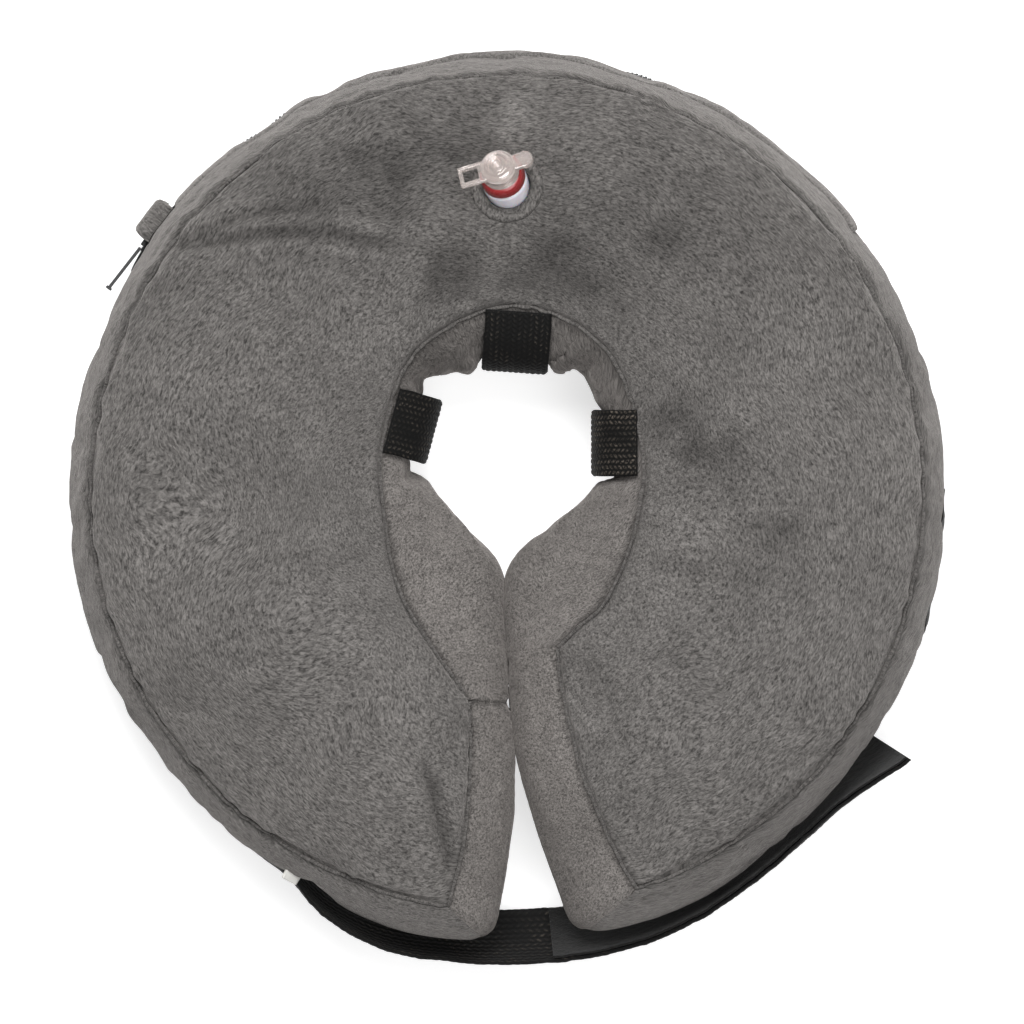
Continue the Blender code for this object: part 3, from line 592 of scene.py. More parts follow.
def pressed(panel):
    """How deep the strap and the loop strip are pressed into the outer wall."""
    x, y, z = np.moveaxis(panel.points, -1, 0)
    angle = np.degrees(np.arctan2(y - CENTRE[1], x - CENTRE[0])) % 360
    return sum(depth * MM * between(angle, *angles, PRESSED_EDGE)
               * between(z / MM, *heights, PRESSED_EDGE) for angles, heights, depth in PRESSED)


def relief(panel):
    """How far each point of a panel stands out: grooves, puckers, creases and lumps."""
    height = np.zeros(panel.points.shape[:2])
    flat = panel.points[..., :2] - CENTRE
    if panel.name == "outer":
        height -= pressed(panel)
    for index, (side, groove) in enumerate(zip(panel.seams, panel.groove)):
        middle = side[:, side.shape[1] // 2]
        runs_along = abs(middle[0] - middle[-1]) < SAME_SIDE    # as its distance hardly changes
        run = panel.along if runs_along else panel.across
        pucker = line_noise(run, PUCKER_PITCH, 11 + index) + FINE_PUCKERS[0] * line_noise(
            run, PUCKER_PITCH / FINE_PUCKERS[1], 31 + index)
        away = 1 - bell(side, PUCKER_GAP)
        height += PUCKER_HEIGHT * pucker * away * np.exp(-side / PUCKER_LENGTH)
        height -= groove * bell(side, GROOVE_WIDTH)
    height += LUMP_HEIGHT * soft_noise(panel.points, LUMP_SIZE, 5)
    height += FINE_LUMPS[0] * LUMP_HEIGHT * soft_noise(panel.points, LUMP_SIZE / FINE_LUMPS[1], 6)
    height += TUFT_HEIGHT * soft_noise(panel.points, TUFT_SIZE, 7)
    if panel.name not in ("front", "back"):
        along = np.dstack((panel.along * WISP_STRETCH, panel.across, 0 * panel.along))
        height += WISP_HEIGHT * soft_noise(along, WISP_SIZE, 8)
    if panel.name == "front":
        for knots, depth, width in FRONT_CREASES:
            height -= depth * MM * crease(flat, knots, width * MM)
    if panel.name == "neck":
        height -= neck_folds(panel)
    return height


def neck_folds(panel):
    """How deep the folds that run down the neck wall are, leaning a little as they go."""
    depths = np.zeros(panel.points.shape[:2])
    down = np.linspace(0, 1, panel.points.shape[1])[None, :]
    seam = panel.points[:, 0, :2] - CENTRE
    for place, depth, width in NECK_FOLDS:
        nearest = np.argmin(np.linalg.norm(seam - np.array(place) * MM, axis=1))
        lean = FOLD_LEAN * np.sin(3 * down + place[0])
        gap = panel.along - panel.along[nearest:nearest + 1] - lean
        profile = bell(gap, width * MM)
        if depth > 0:
            part, beside, spread = FOLD_LIP
            profile -= part * bell(np.abs(gap) - beside * width * MM, spread * width * MM)
        depths += depth * MM * profile * np.sin(np.pi * down) ** 0.5
    return depths


def detail(skin):
    """Refined and displaced panels of the cover, by name."""
    panels = {name: Panel(name, skin.co[grid]) for name, grid in skin.grids.items()}
    share_normals(panels)
    for panel in panels.values():
        panel.rest = panel.points.copy()
        panel.points += panel.normals * relief(panel)[..., None]
    for first, rows, second, other_rows in SHARED_ROWS:
        mean = (panels[first].points[rows] + panels[second].points[other_rows]) / 2
        panels[first].points[rows] = mean
        panels[second].points[other_rows] = mean
    for panel in panels.values():
        panel.points[..., 2] = np.maximum(panel.points[..., 2], LOWEST_OUTSIDE)
    return panels


# ---------------------------------------------------------------- closed sheets
def closed_sheet(name, outside, inside, stride=1):
    """Closed solid between two grids of points, the inside one coarser by the stride."""
    outer = np.arange(outside[..., 0].size).reshape(outside.shape[:2])
    inner = outer.size + np.arange(inside[..., 0].size).reshape(inside.shape[:2])
    faces = quads(outer).tolist() + quads(inner)[:, ::-1].tolist()
    sides = ((outer[0], inner[0]), (outer[:, -1], inner[:, -1]),
             (outer[-1][::-1], inner[-1][::-1]), (outer[::-1, 0], inner[::-1, 0]))
    for fine, coarse in sides:
        for index in range(len(coarse) - 1):
            run = fine[index * stride:(index + 1) * stride + 1].tolist()
            faces.append(run + [int(coarse[index + 1]), int(coarse[index])])
    points = np.vstack((outside.reshape(-1, 3), inside.reshape(-1, 3)))
    return new_mesh_object(name, points, faces)


def store(obj, name, values, kind="FLOAT_VECTOR"):
    """Keep values on the first points of a mesh, and zero on the rest."""
    width = 3 if kind == "FLOAT_VECTOR" else 1
    full = np.zeros((len(obj.data.vertices), width), np.float32)
    flat = np.asarray(values).reshape(-1, width)
    full[:len(flat)] = flat
    attribute = obj.data.attributes.new(name, kind, "POINT")
    attribute.data.foreach_set("vector" if width == 3 else "value", full.ravel())


def paint(obj, material):
    """Give an object one material."""
    obj.data.materials.clear()
    obj.data.materials.append(material)


def dress(obj, material, body="collar", replaced=()):
    """Give a piece its material and body, and hide the CAD nodes that it stands for."""
    paint(obj, material)
    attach(obj, body)
    if replaced:
        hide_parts(*replaced)
    return obj


# ---------------------------------------------------------------- materials
class Tree:
    """Short way to write a material's nodes."""

    def __init__(self, name):
        self.material = bpy.data.materials.new(name)
        self.material.use_nodes = True
        self.nodes = self.material.node_tree.nodes
        self.links = self.material.node_tree.links
        self.shader = self.nodes["Principled BSDF"]

    def fill(self, node, values):
        """Set or link a node's inputs."""
        for key, value in values.items():
            if isinstance(value, bpy.types.NodeSocket):
                self.links.new(value, node.inputs[key])
            elif value is not None:
                node.inputs[key].default_value = value
        return node

    def add(self, kind, values=None, **settings):
        """New node with its settings and inputs."""
        node = self.nodes.new("ShaderNode" + kind)
        for key, value in settings.items():
            setattr(node, key, value)
        return self.fill(node, values or {})

    def maths(self, operation, first, second=0.0, third=0.0):
        """Result of one sum."""
        return self.add("Math", {0: first, 1: second, 2: third}, operation=operation).outputs[0]

    def remap(self, value, low, high, to_low=0.0, to_high=1.0):
        """Value moved from one range to another."""
        return self.add("MapRange", {"Value": value, "From Min": low, "From Max": high,
                                     "To Min": to_low, "To Max": to_high}).outputs[0]

    def noise(self, vector, scale, detail=2.0, roughness=0.5, distortion=0.0):
        """Noise from 0 to 1."""
        return self.add("TexNoise", {"Vector": vector, "Scale": scale, "Detail": detail,
                                     "Roughness": roughness, "Distortion": distortion}).outputs[0]

    def attribute(self, name, output="Vector"):
        """A value kept on the mesh."""
        return self.add("Attribute", attribute_name=name).outputs[output]

    def place(self):
        """Place on the object, in metres."""
        return self.add("TexCoord").outputs["Object"]

    def stretch(self, vector, scale):
        """Vector scaled differently along each axis."""
        return self.add("VectorMath", {0: vector, 1: scale}, operation="MULTIPLY").outputs[0]

    def blend(self, share, first, second, blend_type="MIX"):
        """Mix of two colours."""
        node = self.add("Mix", {0: share, 6: first, 7: second}, data_type="RGBA",
                        blend_type=blend_type)
        return node.outputs[2]

    def bump(self, height, distance, strength=1.0, normal=None):
        """Bumped normal."""
        return self.add("Bump", {"Height": height, "Distance": distance, "Strength": strength,
                                 "Normal": normal}).outputs[0]

    def finish(self, **values):
        """Set the surface shader's inputs."""
        self.fill(self.shader, {key.replace("_", " "): value for key, value in values.items()})
        return self.material


def grey(value, tint=(1, 1, 1)):
    """Opaque colour of one brightness, slightly tinted."""
    return (value * tint[0], value * tint[1], value * tint[2], 1)


# Noises of the plush, per metre: along the nap's three axes, or the same in each.
STREAK_SCALE = (1350, 560, 1350)
HAIR_SCALE = (2900, 1300, 2900)
HAIR_SHARE = 0.3                # how much of the pile's height is single hairs, not streaks
TUFT_SCALE = 170.0
PATCH_SCALE = 30.0
UNEVEN = (0.3, 0.7, 0.90, 1.10)         # noise range, and the brightness that it gives
TUFT_DEPTH = 1.3 * MM
PILE_DEPTH = 0.9 * MM
# Dark and light colours of the black textiles: on the webbing, painted highlight and wear on yarn
# crowns.
YARN_COLOURS = ((0.0026, 0.0025, 0.0024, 1), (0.210, 0.178, 0.146, 1))
MAT_COLOURS = ((0.0042, 0.0042, 0.0044, 1), (0.030, 0.029, 0.027, 1))


def velour(name, dark, light, contrast, tint):
    """Short-pile plush: streaks of pile along the nap, tufts, brushed patches and sheen, with the
    painted shade kept on the mesh multiplied into its colour.
    """
    tree = Tree(name)
    nap = tree.attribute("nap")
    shade = tree.attribute("shade", "Fac")
    streaks = tree.noise(tree.stretch(nap, STREAK_SCALE), 1.0, 2.0, 0.5, 0.6)
    hairs = tree.noise(tree.stretch(nap, HAIR_SCALE), 1.0, 1.0, 0.5, 0.5)
    tufts = tree.noise(nap, TUFT_SCALE, 3.0, 0.55)
    patches = tree.noise(tree.place(), PATCH_SCALE, 3.0, 0.55)
    pile = tree.maths("MULTIPLY_ADD", hairs, HAIR_SHARE,
                      tree.maths("MULTIPLY", streaks, 1 - HAIR_SHARE))
    share = tree.remap(pile, 0.5 - contrast, 0.5 + contrast)
    colour = tree.blend(share, grey(dark, tint), grey(light, tint))
    wear_and_painted_shade = tree.maths("MULTIPLY", tree.remap(tufts, *UNEVEN), tree.remap(patches, *UNEVEN))
    # Painted shade from the mesh's shade values, multiplied into the uneven tone of tufts and
    # patches.
    wear_and_painted_shade = tree.maths("MULTIPLY", wear_and_painted_shade, shade)
    bright = tree.add("CombineXYZ", {0: wear_and_painted_shade, 1: wear_and_painted_shade, 2: wear_and_painted_shade}).outputs[0]
    colour = tree.blend(1.0, colour, bright, "MULTIPLY")
    fine = tree.bump(pile, PILE_DEPTH, 0.8, tree.bump(tufts, TUFT_DEPTH, 0.5))
    return tree.finish(Base_Color=colour, Roughness=0.93, Specular_IOR_Level=0.12, Normal=fine,
                       Sheen_Weight=0.34, Sheen_Roughness=0.5, Sheen_Tint=grey(0.8, tint))


def webbing():
    """Black heavy webbing: yarns that catch the light on their crowns."""
    tree = Tree("webbing")
    crown = tree.attribute("weave", "Fac")
    place = tree.place()
    fibres = tree.noise(place, 4200.0, 2.0, 0.6)
    flecks = tree.noise(place, 1500.0, 2.0, 0.6)
    dust = tree.noise(place, 120.0, 2.0, 0.5)
    share = tree.maths("MULTIPLY", tree.remap(crown, 0.35, 0.9), tree.remap(flecks, 0.40, 0.66))
    share = tree.maths("MULTIPLY", share, tree.remap(dust, 0.35, 0.65, 0.25, 1.0))
    colour = tree.blend(share, *YARN_COLOURS)
    return tree.finish(Base_Color=colour, Roughness=0.75, Specular_IOR_Level=0.2,
                       Normal=tree.bump(fibres, 0.12 * MM, 0.8), Sheen_Weight=0.03,
                       Sheen_Roughness=0.4)


def fastening_tape():
    """Black hook and loop tape: a mat of tiny loops."""
    tree = Tree("fastening_tape")
    place = tree.place()
    loops = tree.add("TexVoronoi", {"Vector": place, "Scale": 1500.0}).outputs["Distance"]
    fuzz = tree.noise(place, 2600.0, 3.0, 0.65)
    lint = tree.remap(tree.noise(place, 420.0, 2.0, 0.5), 0.62, 0.74)
    share = tree.maths("MULTIPLY_ADD", lint, 0.35, tree.remap(fuzz, 0.45, 0.85, 0.0, 0.8))
    colour = tree.blend(share, *MAT_COLOURS)
    normal = tree.bump(fuzz, 0.3 * MM, 0.7, tree.bump(loops, 0.3 * MM, 0.6))
    return tree.finish(Base_Color=colour, Roughness=0.9, Specular_IOR_Level=0.2, Normal=normal,
                       Sheen_Weight=0.12, Sheen_Roughness=0.5)


def woven_tape(name, dark, light):
    """Fine plain-woven tape or label."""
    tree = Tree(name)
    place = tree.place()
    wave = {"Vector": place, "Scale": 900.0, "Distortion": 0.4}
    threads, crossing = (tree.add("TexWave", wave, bands_direction=way).outputs["Fac"]
                         for way in ("Z", "DIAGONAL"))
    weave_height = tree.maths("MULTIPLY", threads, crossing)
    fibres = tree.noise(place, 3000.0, 2.0, 0.5)
    colour = tree.blend(tree.maths("MULTIPLY", weave_height, fibres), dark, light)
    return tree.finish(Base_Color=colour, Roughness=0.85,
                       Normal=tree.bump(weave_height, 0.15 * MM, 0.7))


def moulded(name, colour, roughness, **extra):
    """Moulded plastic: faint flow marks, fine scratches and a slightly uneven gloss."""
    tree = Tree(name)
    place = tree.place()
    flow = tree.noise(place, 160.0, 3.0, 0.5, 0.6)
    grain = tree.noise(place, 1800.0, 2.0, 0.6)
    dark = tuple(0.86 * value for value in colour[:3]) + (1,)
    mixed = tree.blend(tree.remap(flow, 0.35, 0.65), dark, colour)
    gloss = tree.remap(grain, 0.3, 0.7, roughness * 0.8, roughness * 1.25)
    normal = tree.bump(grain, 0.05 * MM, 0.35, tree.bump(flow, 0.25 * MM, 0.3))
    return tree.finish(Base_Color=mixed, Roughness=gloss, Normal=normal, **extra)


TINT = (1.06, 1.0, 0.955)
NECK_TINT = (1.08, 1.0, 0.945)
VELOUR = velour("velour", 0.032, 0.172, 0.165, TINT)
# A lighter copy of the plush for the neck and slit walls: its extra brightness is painted light,
# for the lobes of the neck wall that face the light.
NECK_VELOUR = velour("neck_velour", 0.042, 0.206, 0.15, NECK_TINT)
WEBBING = webbing()
TAPE = fastening_tape()
ZIP_TAPE = woven_tape("zip_tape", (0.006, 0.006, 0.007, 1), (0.05, 0.05, 0.052, 1))
LABEL = woven_tape("label", (0.62, 0.61, 0.58, 1), (0.88, 0.87, 0.84, 1))
ZIP_PLASTIC = moulded("zip_plastic", (0.012, 0.012, 0.013, 1), 0.38)
FILM = moulded("film", (0.50, 0.54, 0.57, 1), 0.22, Transmission_Weight=0.35)
WHITE = moulded("valve_white", (0.80, 0.77, 0.84, 1), 0.33, Subsurface_Weight=0.25,
                Subsurface_Scale=2 * MM, Coat_Weight=0.15)
RED = moulded("valve_red", (0.26, 0.016, 0.018, 1), 0.3, Coat_Weight=0.4)
# The pink in the clear plastic's colour is painted light: the red seat ring's colour showing
# through it.
CLEAR = moulded("valve_clear", (1.0, 0.91, 0.87, 1), 0.06, Transmission_Weight=0.8, IOR=1.5,
                Coat_Weight=0.6)
RUBBER = moulded("seal_rubber", (0.08, 0.08, 0.08, 1), 0.6)


# ---------------------------------------------------------------- plush cover
NAP_RADIUS = 105 * MM           # where the streaks round the ring have their true length
WALL_NAP = 0.45                 # how much longer streaks are on the neck and slit walls
NAP_CURL = (3 * MM, 16 * MM)    # how far the nap curls, and over what distance
NAP_WANDER = (16 * MM, 50 * MM)         # and how far it wanders
# Painted shade: shares of brightness that the plush loses in its seams, low on the neck and slit
# walls, low beside the slit, high on the neck wall, at the top of the front panel and in its
# creases.
SEAM_SHADE = 0.6
SEAM_SHADE_WIDTH = 1.7 * MM
LOW_WALL_SHADE = 0.12
LOW_SLIT_SHADE = 0.40
UPPER_NECK_SHADE = 0.40
TOP_SHADE = 0.17
CREASE_SHADE = 0.16
PATCH_EDGE = (0.45, 7 * MM)     # how unevenly a dark patch ends, and over what distance
PATCH_SQUEEZE = (0.75, 1.1)     # a patch is wider across than along


def panel_nap(panel):
    """Coordinates that the pile streaks run along: the second one is the streaks' way."""
    curl = soft_noise(panel.rest, NAP_CURL[1], 22) * NAP_CURL[0]
    if panel.name in ("front", "back"):
        x, y, z = np.moveaxis(panel.rest, -1, 0)
        away = np.hypot(x - CENTRE[0], y - CENTRE[1])
        turn = np.arctan2(x - CENTRE[0], y - CENTRE[1])
        wander = soft_noise(panel.rest, NAP_WANDER[1], 21) * NAP_WANDER[0]
        return np.stack((away + wander + curl, turn * NAP_RADIUS, z), axis=-1)
    if panel.name == "outer":
        return np.stack((panel.across + curl, panel.along, panel.rest[..., 2]), axis=-1)
    return np.stack((panel.along + curl, panel.across * WALL_NAP, panel.rest[..., 0]), axis=-1)


def panel_shade(panel):
    """Brightness of the plush: painted shade down in the seams, in the front panel's creases, low
    on the neck and slit walls, high on the neck wall and at the top of the front panel, painted
    light on the creases' lips, and darker where the pile is brushed.
    """
    # Painted shade down in the seams.
    shade = 1 - SEAM_SHADE * bell(panel.nearest_seam(), SEAM_SHADE_WIDTH)
    flat = panel.rest[..., :2] - CENTRE
    if panel.name in ("front", "back"):
        wander = 1 + PATCH_EDGE[0] * soft_noise(panel.rest, PATCH_EDGE[1], 23)
        for place, radius, strength in DARK_PATCHES:
            gap = np.linalg.norm((flat - np.array(place) * MM) * PATCH_SQUEEZE, axis=-1)
            shade *= 1 - strength * bell(gap * wander, radius * MM)
    if panel.name in ("neck", "slit_left", "slit_right"):
        # Painted shade low on the neck and slit walls, most beside the slit, and high on the neck
        # wall, which faces away from the light.
        down = 1 - (panel.rest[..., 2] - MIDDLE_Z) / HALF_SEAM
        near_slit = ease((-flat[..., 1] - 5 * MM) / (50 * MM))
        shade *= 1 - (LOW_WALL_SHADE + LOW_SLIT_SHADE * near_slit) * ease((down - 0.25) / 0.75)
        shade *= 1 - UPPER_NECK_SHADE * ease((flat[..., 1] - 12 * MM) / (42 * MM))
    if panel.name == "front":
        # Painted shade at the top of the front panel.
        shade *= 1 - TOP_SHADE * ease((flat[..., 1] - 40 * MM) / (60 * MM))
        # Painted shade in the creases, and painted light on their lips and along the raised
        # crease.
        for knots, depth, width in FRONT_CREASES:
            profile = np.clip(crease(flat, knots, 1.1 * width * MM), -0.5, 1)
            shade *= 1 - CREASE_SHADE * depth * profile
    return shade


def cover_piece(name, panel, material, rows=ALL, columns=ALL):
    """One sewn piece of the cover, cut from a panel as a closed sheet."""
    outside = panel.points[rows, columns]
    normals = panel.normals[rows, columns][::REFINE, ::REFINE]
    inside = outside[::REFINE, ::REFINE] - normals * COVER_THICKNESS
    inside[..., 2] = np.maximum(inside[..., 2], LOWEST_INSIDE)
    piece = closed_sheet(name, outside, inside, REFINE)
    store(piece, "nap", panel_nap(panel)[rows, columns])
    store(piece, "shade", panel_shade(panel)[rows, columns], "FLOAT")
    dress(piece, material, "collar", (name,))
    return piece


def seam_ridge(name, path, out, material):
    """Rolled seam allowance that shows in the groove, as a thin uneven cord."""
    run = run_length(path)
    out = unit(out)
    along = unit(np.gradient(path, axis=0))
    beside = unit(np.cross(along, out))
    turn = np.linspace(0, 2 * np.pi, RIDGE_SIDES, endpoint=False)
    swell = 1 + 0.22 * line_noise(run, 2.6 * MM, 41) + 0.15 * line_noise(run, 1.1 * MM, 42)
    ends = np.clip(np.minimum(run, run[-1] - run) / (2 * MM), 0.05, 1) ** 0.5
    radius = (RIDGE_RADIUS * swell * ends)[:, None, None]
    middle = path + out * (GROOVE_DEPTH - RIDGE_SINK) + beside * (
        0.25 * MM * line_noise(run, 5 * MM, 43))[:, None]
    ring = (np.cos(turn)[None, :, None] * beside[:, None] * 0.95
            + np.sin(turn)[None, :, None] * out[:, None] * 1.1)
    points = middle[:, None] + radius * ring
    grid = np.arange(points[..., 0].size).reshape(points.shape[:2])
    faces = quads(np.hstack((grid, grid[:, :1]))).tolist()
    faces += [grid[0][::-1].tolist(), grid[-1].tolist()]
    ridge = new_mesh_object(name, points.reshape(-1, 3), faces)
    store(ridge, "nap", np.dstack((np.broadcast_to(run[:, None], grid.shape),
                                   np.broadcast_to(turn * RIDGE_RADIUS, grid.shape),
                                   0 * grid)))
    # Painted shade: the cord is darker, down in the groove.
    store(ridge, "shade", np.full(grid.size, RIDGE_SHADE), "FLOAT")
    return dress(ridge, material)


VALVE_PLACE = np.array((0, 118 * MM)) + CENTRE
VALVE_HOLE = 10.4 * MM          # radius of the round hole in the front panel
ZIP_ROW = SKIN_STEPS[2] * REFINE * 2 // 3       # row of the outer wall that the zip splits


def cylinder(name, radius, depth, place, sides=64):
    """Plain upright cylinder, for cutting."""
    work = bmesh.new()
    bmesh.ops.create_cone(work, cap_ends=True, segments=sides, radius1=radius, radius2=radius,
                          depth=depth)
    obj = built(name, work)
    obj.location = place
    bpy.context.view_layer.update()
    return obj


def boolean(target, operation, tool):
    """Apply a Boolean and remove its tool."""
    modifier = target.modifiers.new(operation.lower(), "BOOLEAN")
    modifier.operation = operation
    modifier.object = tool
    apply_modifier(target, modifier)
    bpy.data.objects.remove(tool)


def make_cover(panels):
    """The seven sewn pieces of the cover and the ridges along their seams."""
    front = cover_piece("front_panel", panels["front"], VELOUR)
    hole = cylinder("valve_hole", VALVE_HOLE, 30 * MM, (*VALVE_PLACE, TOP_Z))
    boolean(front, "DIFFERENCE", hole)
    cover_piece("back_panel", panels["back"], VELOUR)
    cover_piece("outer_gusset_front", panels["outer"], VELOUR, columns=slice(0, ZIP_ROW + 1))
    cover_piece("outer_gusset_rear", panels["outer"], VELOUR, columns=slice(ZIP_ROW, None))
    cover_piece("neck_gusset", panels["neck"], NECK_VELOUR)
    cover_piece("slit_gusset_left", panels["slit_left"], NECK_VELOUR)
    cover_piece("slit_gusset_right", panels["slit_right"], NECK_VELOUR)
    for first, rows, second, _ in SHARED_ROWS:
        if first in ("front", "back"):
            panel = panels[first]
            seam_ridge("seam_%s_%s" % (first, second), panel.points[rows], panel.normals[rows],
                       VELOUR)


def make_bladder(skin):
    """The air bladder inside, as one welded bag that fills the cover."""
    bag = new_mesh_object("air_bladder", skin.co, skin.faces())
    normals = np.empty(len(skin.co) * 3, np.float32)
    bag.data.vertices.foreach_get("normal", normals)
    inner = skin.co - normals.reshape(-1, 3) * BLADDER_DEPTH
    bag.data.vertices.foreach_set("co", inner.ravel())
    dress(bag, FILM, "collar", ("bladder_front_film", "bladder_back_film", "bladder_outer_wall",
                                "bladder_neck_wall", "bladder_end_left", "bladder_end_right"))


skin = Skin()
skin.round_corners()
skin.co = inflate(skin)
panels = detail(skin)
make_cover(panels)
make_bladder(skin)


# ---------------------------------------------------------------- bands on the outer wall
class Wall:
    """Places on the finished outer wall, by ring angle and share of its height."""

    def __init__(self, panel):
        self.panel = panel
        steps = np.linspace(0, SKIN_STEPS[0], panel.points.shape[0])
        self.angles = ring_angle(np.interp(steps, np.arange(SKIN_STEPS[0] + 1), skin.u))

    def at(self, angle, w, proud):
        """Point standing proud of the wall."""
        rows, columns = self.panel.points.shape[:2]
        row = np.interp(-np.asarray(angle), -self.angles, np.arange(rows))
        column = np.asarray(w) * (columns - 1)
        row, column, proud = np.broadcast_arrays(row, column, proud)
        low_row = np.clip(row.astype(int), 0, rows - 2)
        low_column = np.clip(column.astype(int), 0, columns - 2)
        a = (row - low_row)[..., None]
        b = (column - low_column)[..., None]

        def sample(grid):
            return ((grid[low_row, low_column] * (1 - a) + grid[low_row + 1, low_column] * a)
                    * (1 - b) + (grid[low_row, low_column + 1] * (1 - a)
                                 + grid[low_row + 1, low_column + 1] * a) * b)

        return sample(self.panel.points) + unit(sample(self.panel.normals)) * proud[..., None]


wall = Wall(panels["outer"])
WALL_HEIGHT = 60 * MM           # of the bulging wall, measured over its curve


def wall_band(name, angles, steps, section, down_steps, material, relief_of=None, ends=0.0):
    """Band along the outer wall, through the rows of its section."""
    section = np.array(section, float)
    rows = through(section, np.linspace(0, len(section) - 1, down_steps + 1))
    angle = np.linspace(*angles, steps + 1)[:, None]
    run = np.radians(angle - angle[0]) * WALL_RADIUS
    down = (rows[:, 0] * WALL_HEIGHT)[None, :]
    outer = rows[:, 2][None, :] * MM + 0 * angle
    inner = rows[:, 1][None, :] * MM + 0 * angle
    if ends:
        close = np.clip(np.minimum(run, run[-1] - run) / ends, 0, 1)
        outer = inner + (outer - inner) * (0.12 + 0.88 * np.sqrt(close * (2 - close)))
    if relief_of:
        outer = outer + relief_of(run, down)
    piece = closed_sheet(name, wall.at(angle, rows[:, 0][None, :], outer),
                         wall.at(angle, rows[:, 0][None, :], inner))
    spread = plane(run, down)
    store(piece, "nap", spread)
    store(piece, "shade", np.ones(spread[..., 0].size), "FLOAT")
    dress(piece, material, "collar", (name,))


def plane(run, down):
    """Points of a flat plane, for noise over a band."""
    return np.stack(np.broadcast_arrays(run, down, 0 * run), axis=-1)


def ruffle(run, down):
    """Soft waves of the welt over the zip."""
    points = plane(run, down * 0.6)
    waves = 0.7 * MM * soft_noise(points, 17 * MM, 51) + 0.2 * MM * soft_noise(points, 4 * MM, 52)
    return waves * np.clip((down - 0.4 * WALL_HEIGHT) / (4 * MM), 0, 1)


def fuzz(run, down):
    """Uneven mat of tiny loops."""
    points = plane(run, down)
    return 0.12 * MM * (soft_noise(points, 1.3 * MM, 53) + soft_noise(points, 9 * MM, 54))


ZIP_LINE = 4 / 6                # share of the wall's height at which the zip runs
ZIP_ANGLES = (38.0, 149.0)
# Sections of the bands: share of the wall's height, inner and outer face's height in mm.
UPPER_TAPE = [(0.54, 0.35, 0.9), (0.60, 0.35, 0.95), (0.655, 0.35, 1.0)]
LOWER_TAPE = [(0.678, 0.35, 1.0), (0.73, 0.35, 0.95), (0.79, 0.35, 0.9)]
WELT = [(0.385, -1.2, -0.7), (0.41, -0.6, 0.3), (0.45, -0.1, 1.2), (0.51, 0.3, 1.8),
        (0.55, 0.8, 2.1), (0.578, 0.9, 1.5)]
WELT_ANGLES = (37.3, 138.9)
HOOD = [(0.44, 0.2, 0.7), (0.48, 1.6, 4.6), (0.55, 4.3, 7.4), (0.67, 4.9, 8.0),
        (0.79, 5.4, 7.7), (0.81, 5.6, 6.3)]
HOOD_ANGLES = (139.2, 144.6)
LOOP_STRIP = [(0.53, 0.0, 0.2), (0.54, 0.0, 0.6), (0.70, 0.2, 1.1), (0.91, 0.2, 1.1),
              (0.92, 0.2, 0.7)]
LOOP_STRIP_ANGLES = (-63, 1)
TOOTH_PITCH = 1.7 * MM
TOOTH_SIZE = (0.85 * MM, 3.0 * MM, 0.85 * MM)


def make_teeth():
    """Two rows of zip teeth that mesh along the zip line."""
    work = bmesh.new()
    first, last = math.radians(ZIP_ANGLES[0] + 1), math.radians(ZIP_ANGLES[1] - 3)
    count = int((last - first) * WALL_RADIUS / TOOTH_PITCH)
    for index in range(count * 2):
        side = 1 if index % 2 else -1
        angle = math.degrees(first + (last - first) * index / (count * 2 - 1))
        w = ZIP_LINE + side * 0.8 * MM / (2 * HALF_SEAM)
        place = wall.at(angle, w, 1.55 * MM)
        turn = Matrix.Rotation(math.radians(angle), 4, "Z")
        tooth = bmesh.ops.create_cube(work, size=1)["verts"]
        bmesh.ops.scale(work, vec=TOOTH_SIZE, verts=tooth)
        for vert in tooth:
            if vert.co.y * side > 0:
                vert.co.x *= 0.6
            vert.co = turn @ Matrix.Rotation(math.radians(90), 4, "X") @ vert.co
            vert.co += Vector(place)
    dress(built("zip_teeth", work), ZIP_PLASTIC, "collar", ("zip_chain",))


def make_zip():
    """Tapes, teeth, welt and hood of the zip; the slider and its pull keep their shape."""
    for name, section in (("zip_tape_upper", UPPER_TAPE), ("zip_tape_lower", LOWER_TAPE)):
        wall_band(name, ZIP_ANGLES, 240, section, 6, ZIP_TAPE)
    make_teeth()
    wall_band("zip_placket", WELT_ANGLES, 330, WELT, 16, VELOUR, ruffle, 3 * MM)
    wall_band("zip_garage", HOOD_ANGLES, 26, HOOD, 22, VELOUR, None, 2.5 * MM)
    for name in ("zip_slider", "zip_pull", "zip_stop_open", "zip_stop_closed"):
        paint(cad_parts[name], ZIP_PLASTIC)


make_zip()
wall_band("loop_strip", LOOP_STRIP_ANGLES, 300, LOOP_STRIP, 40, TAPE, fuzz)


# ---------------------------------------------------------------- webbing
RIB_PITCH = 2.1 * MM            # width of a column of yarns
YARN_PITCH = 2.0 * MM           # from one yarn to the next in a column
YARN_HEIGHT = 0.5 * MM


def weave(across, along, coarse=1.0):
    """Height of the webbing's yarns, 0 to 1: columns of slanting floats, in a herringbone."""
    across, along = np.broadcast_arrays(across / coarse, along / coarse)
    column = across / RIB_PITCH + 0.12 * line_noise(along, 9 * MM, 62)
    inside = column - np.floor(column)
    slant = np.where(np.floor(column) % 2 == 0, 1.0, -1.0)
    phase = along / YARN_PITCH + 0.75 * slant * (inside - 0.5) + 0.25 * slant
    yarn = np.abs(np.sin(np.pi * phase)) ** 0.8
    loose = np.stack((np.floor(column), np.floor(phase), 0 * column), axis=-1)
    fray = 0.75 + 0.25 * soft_noise(loose + 0.5, 1.7, 63)
    return np.sin(np.pi * inside) ** 0.6 * (0.2 + 0.8 * yarn) * fray


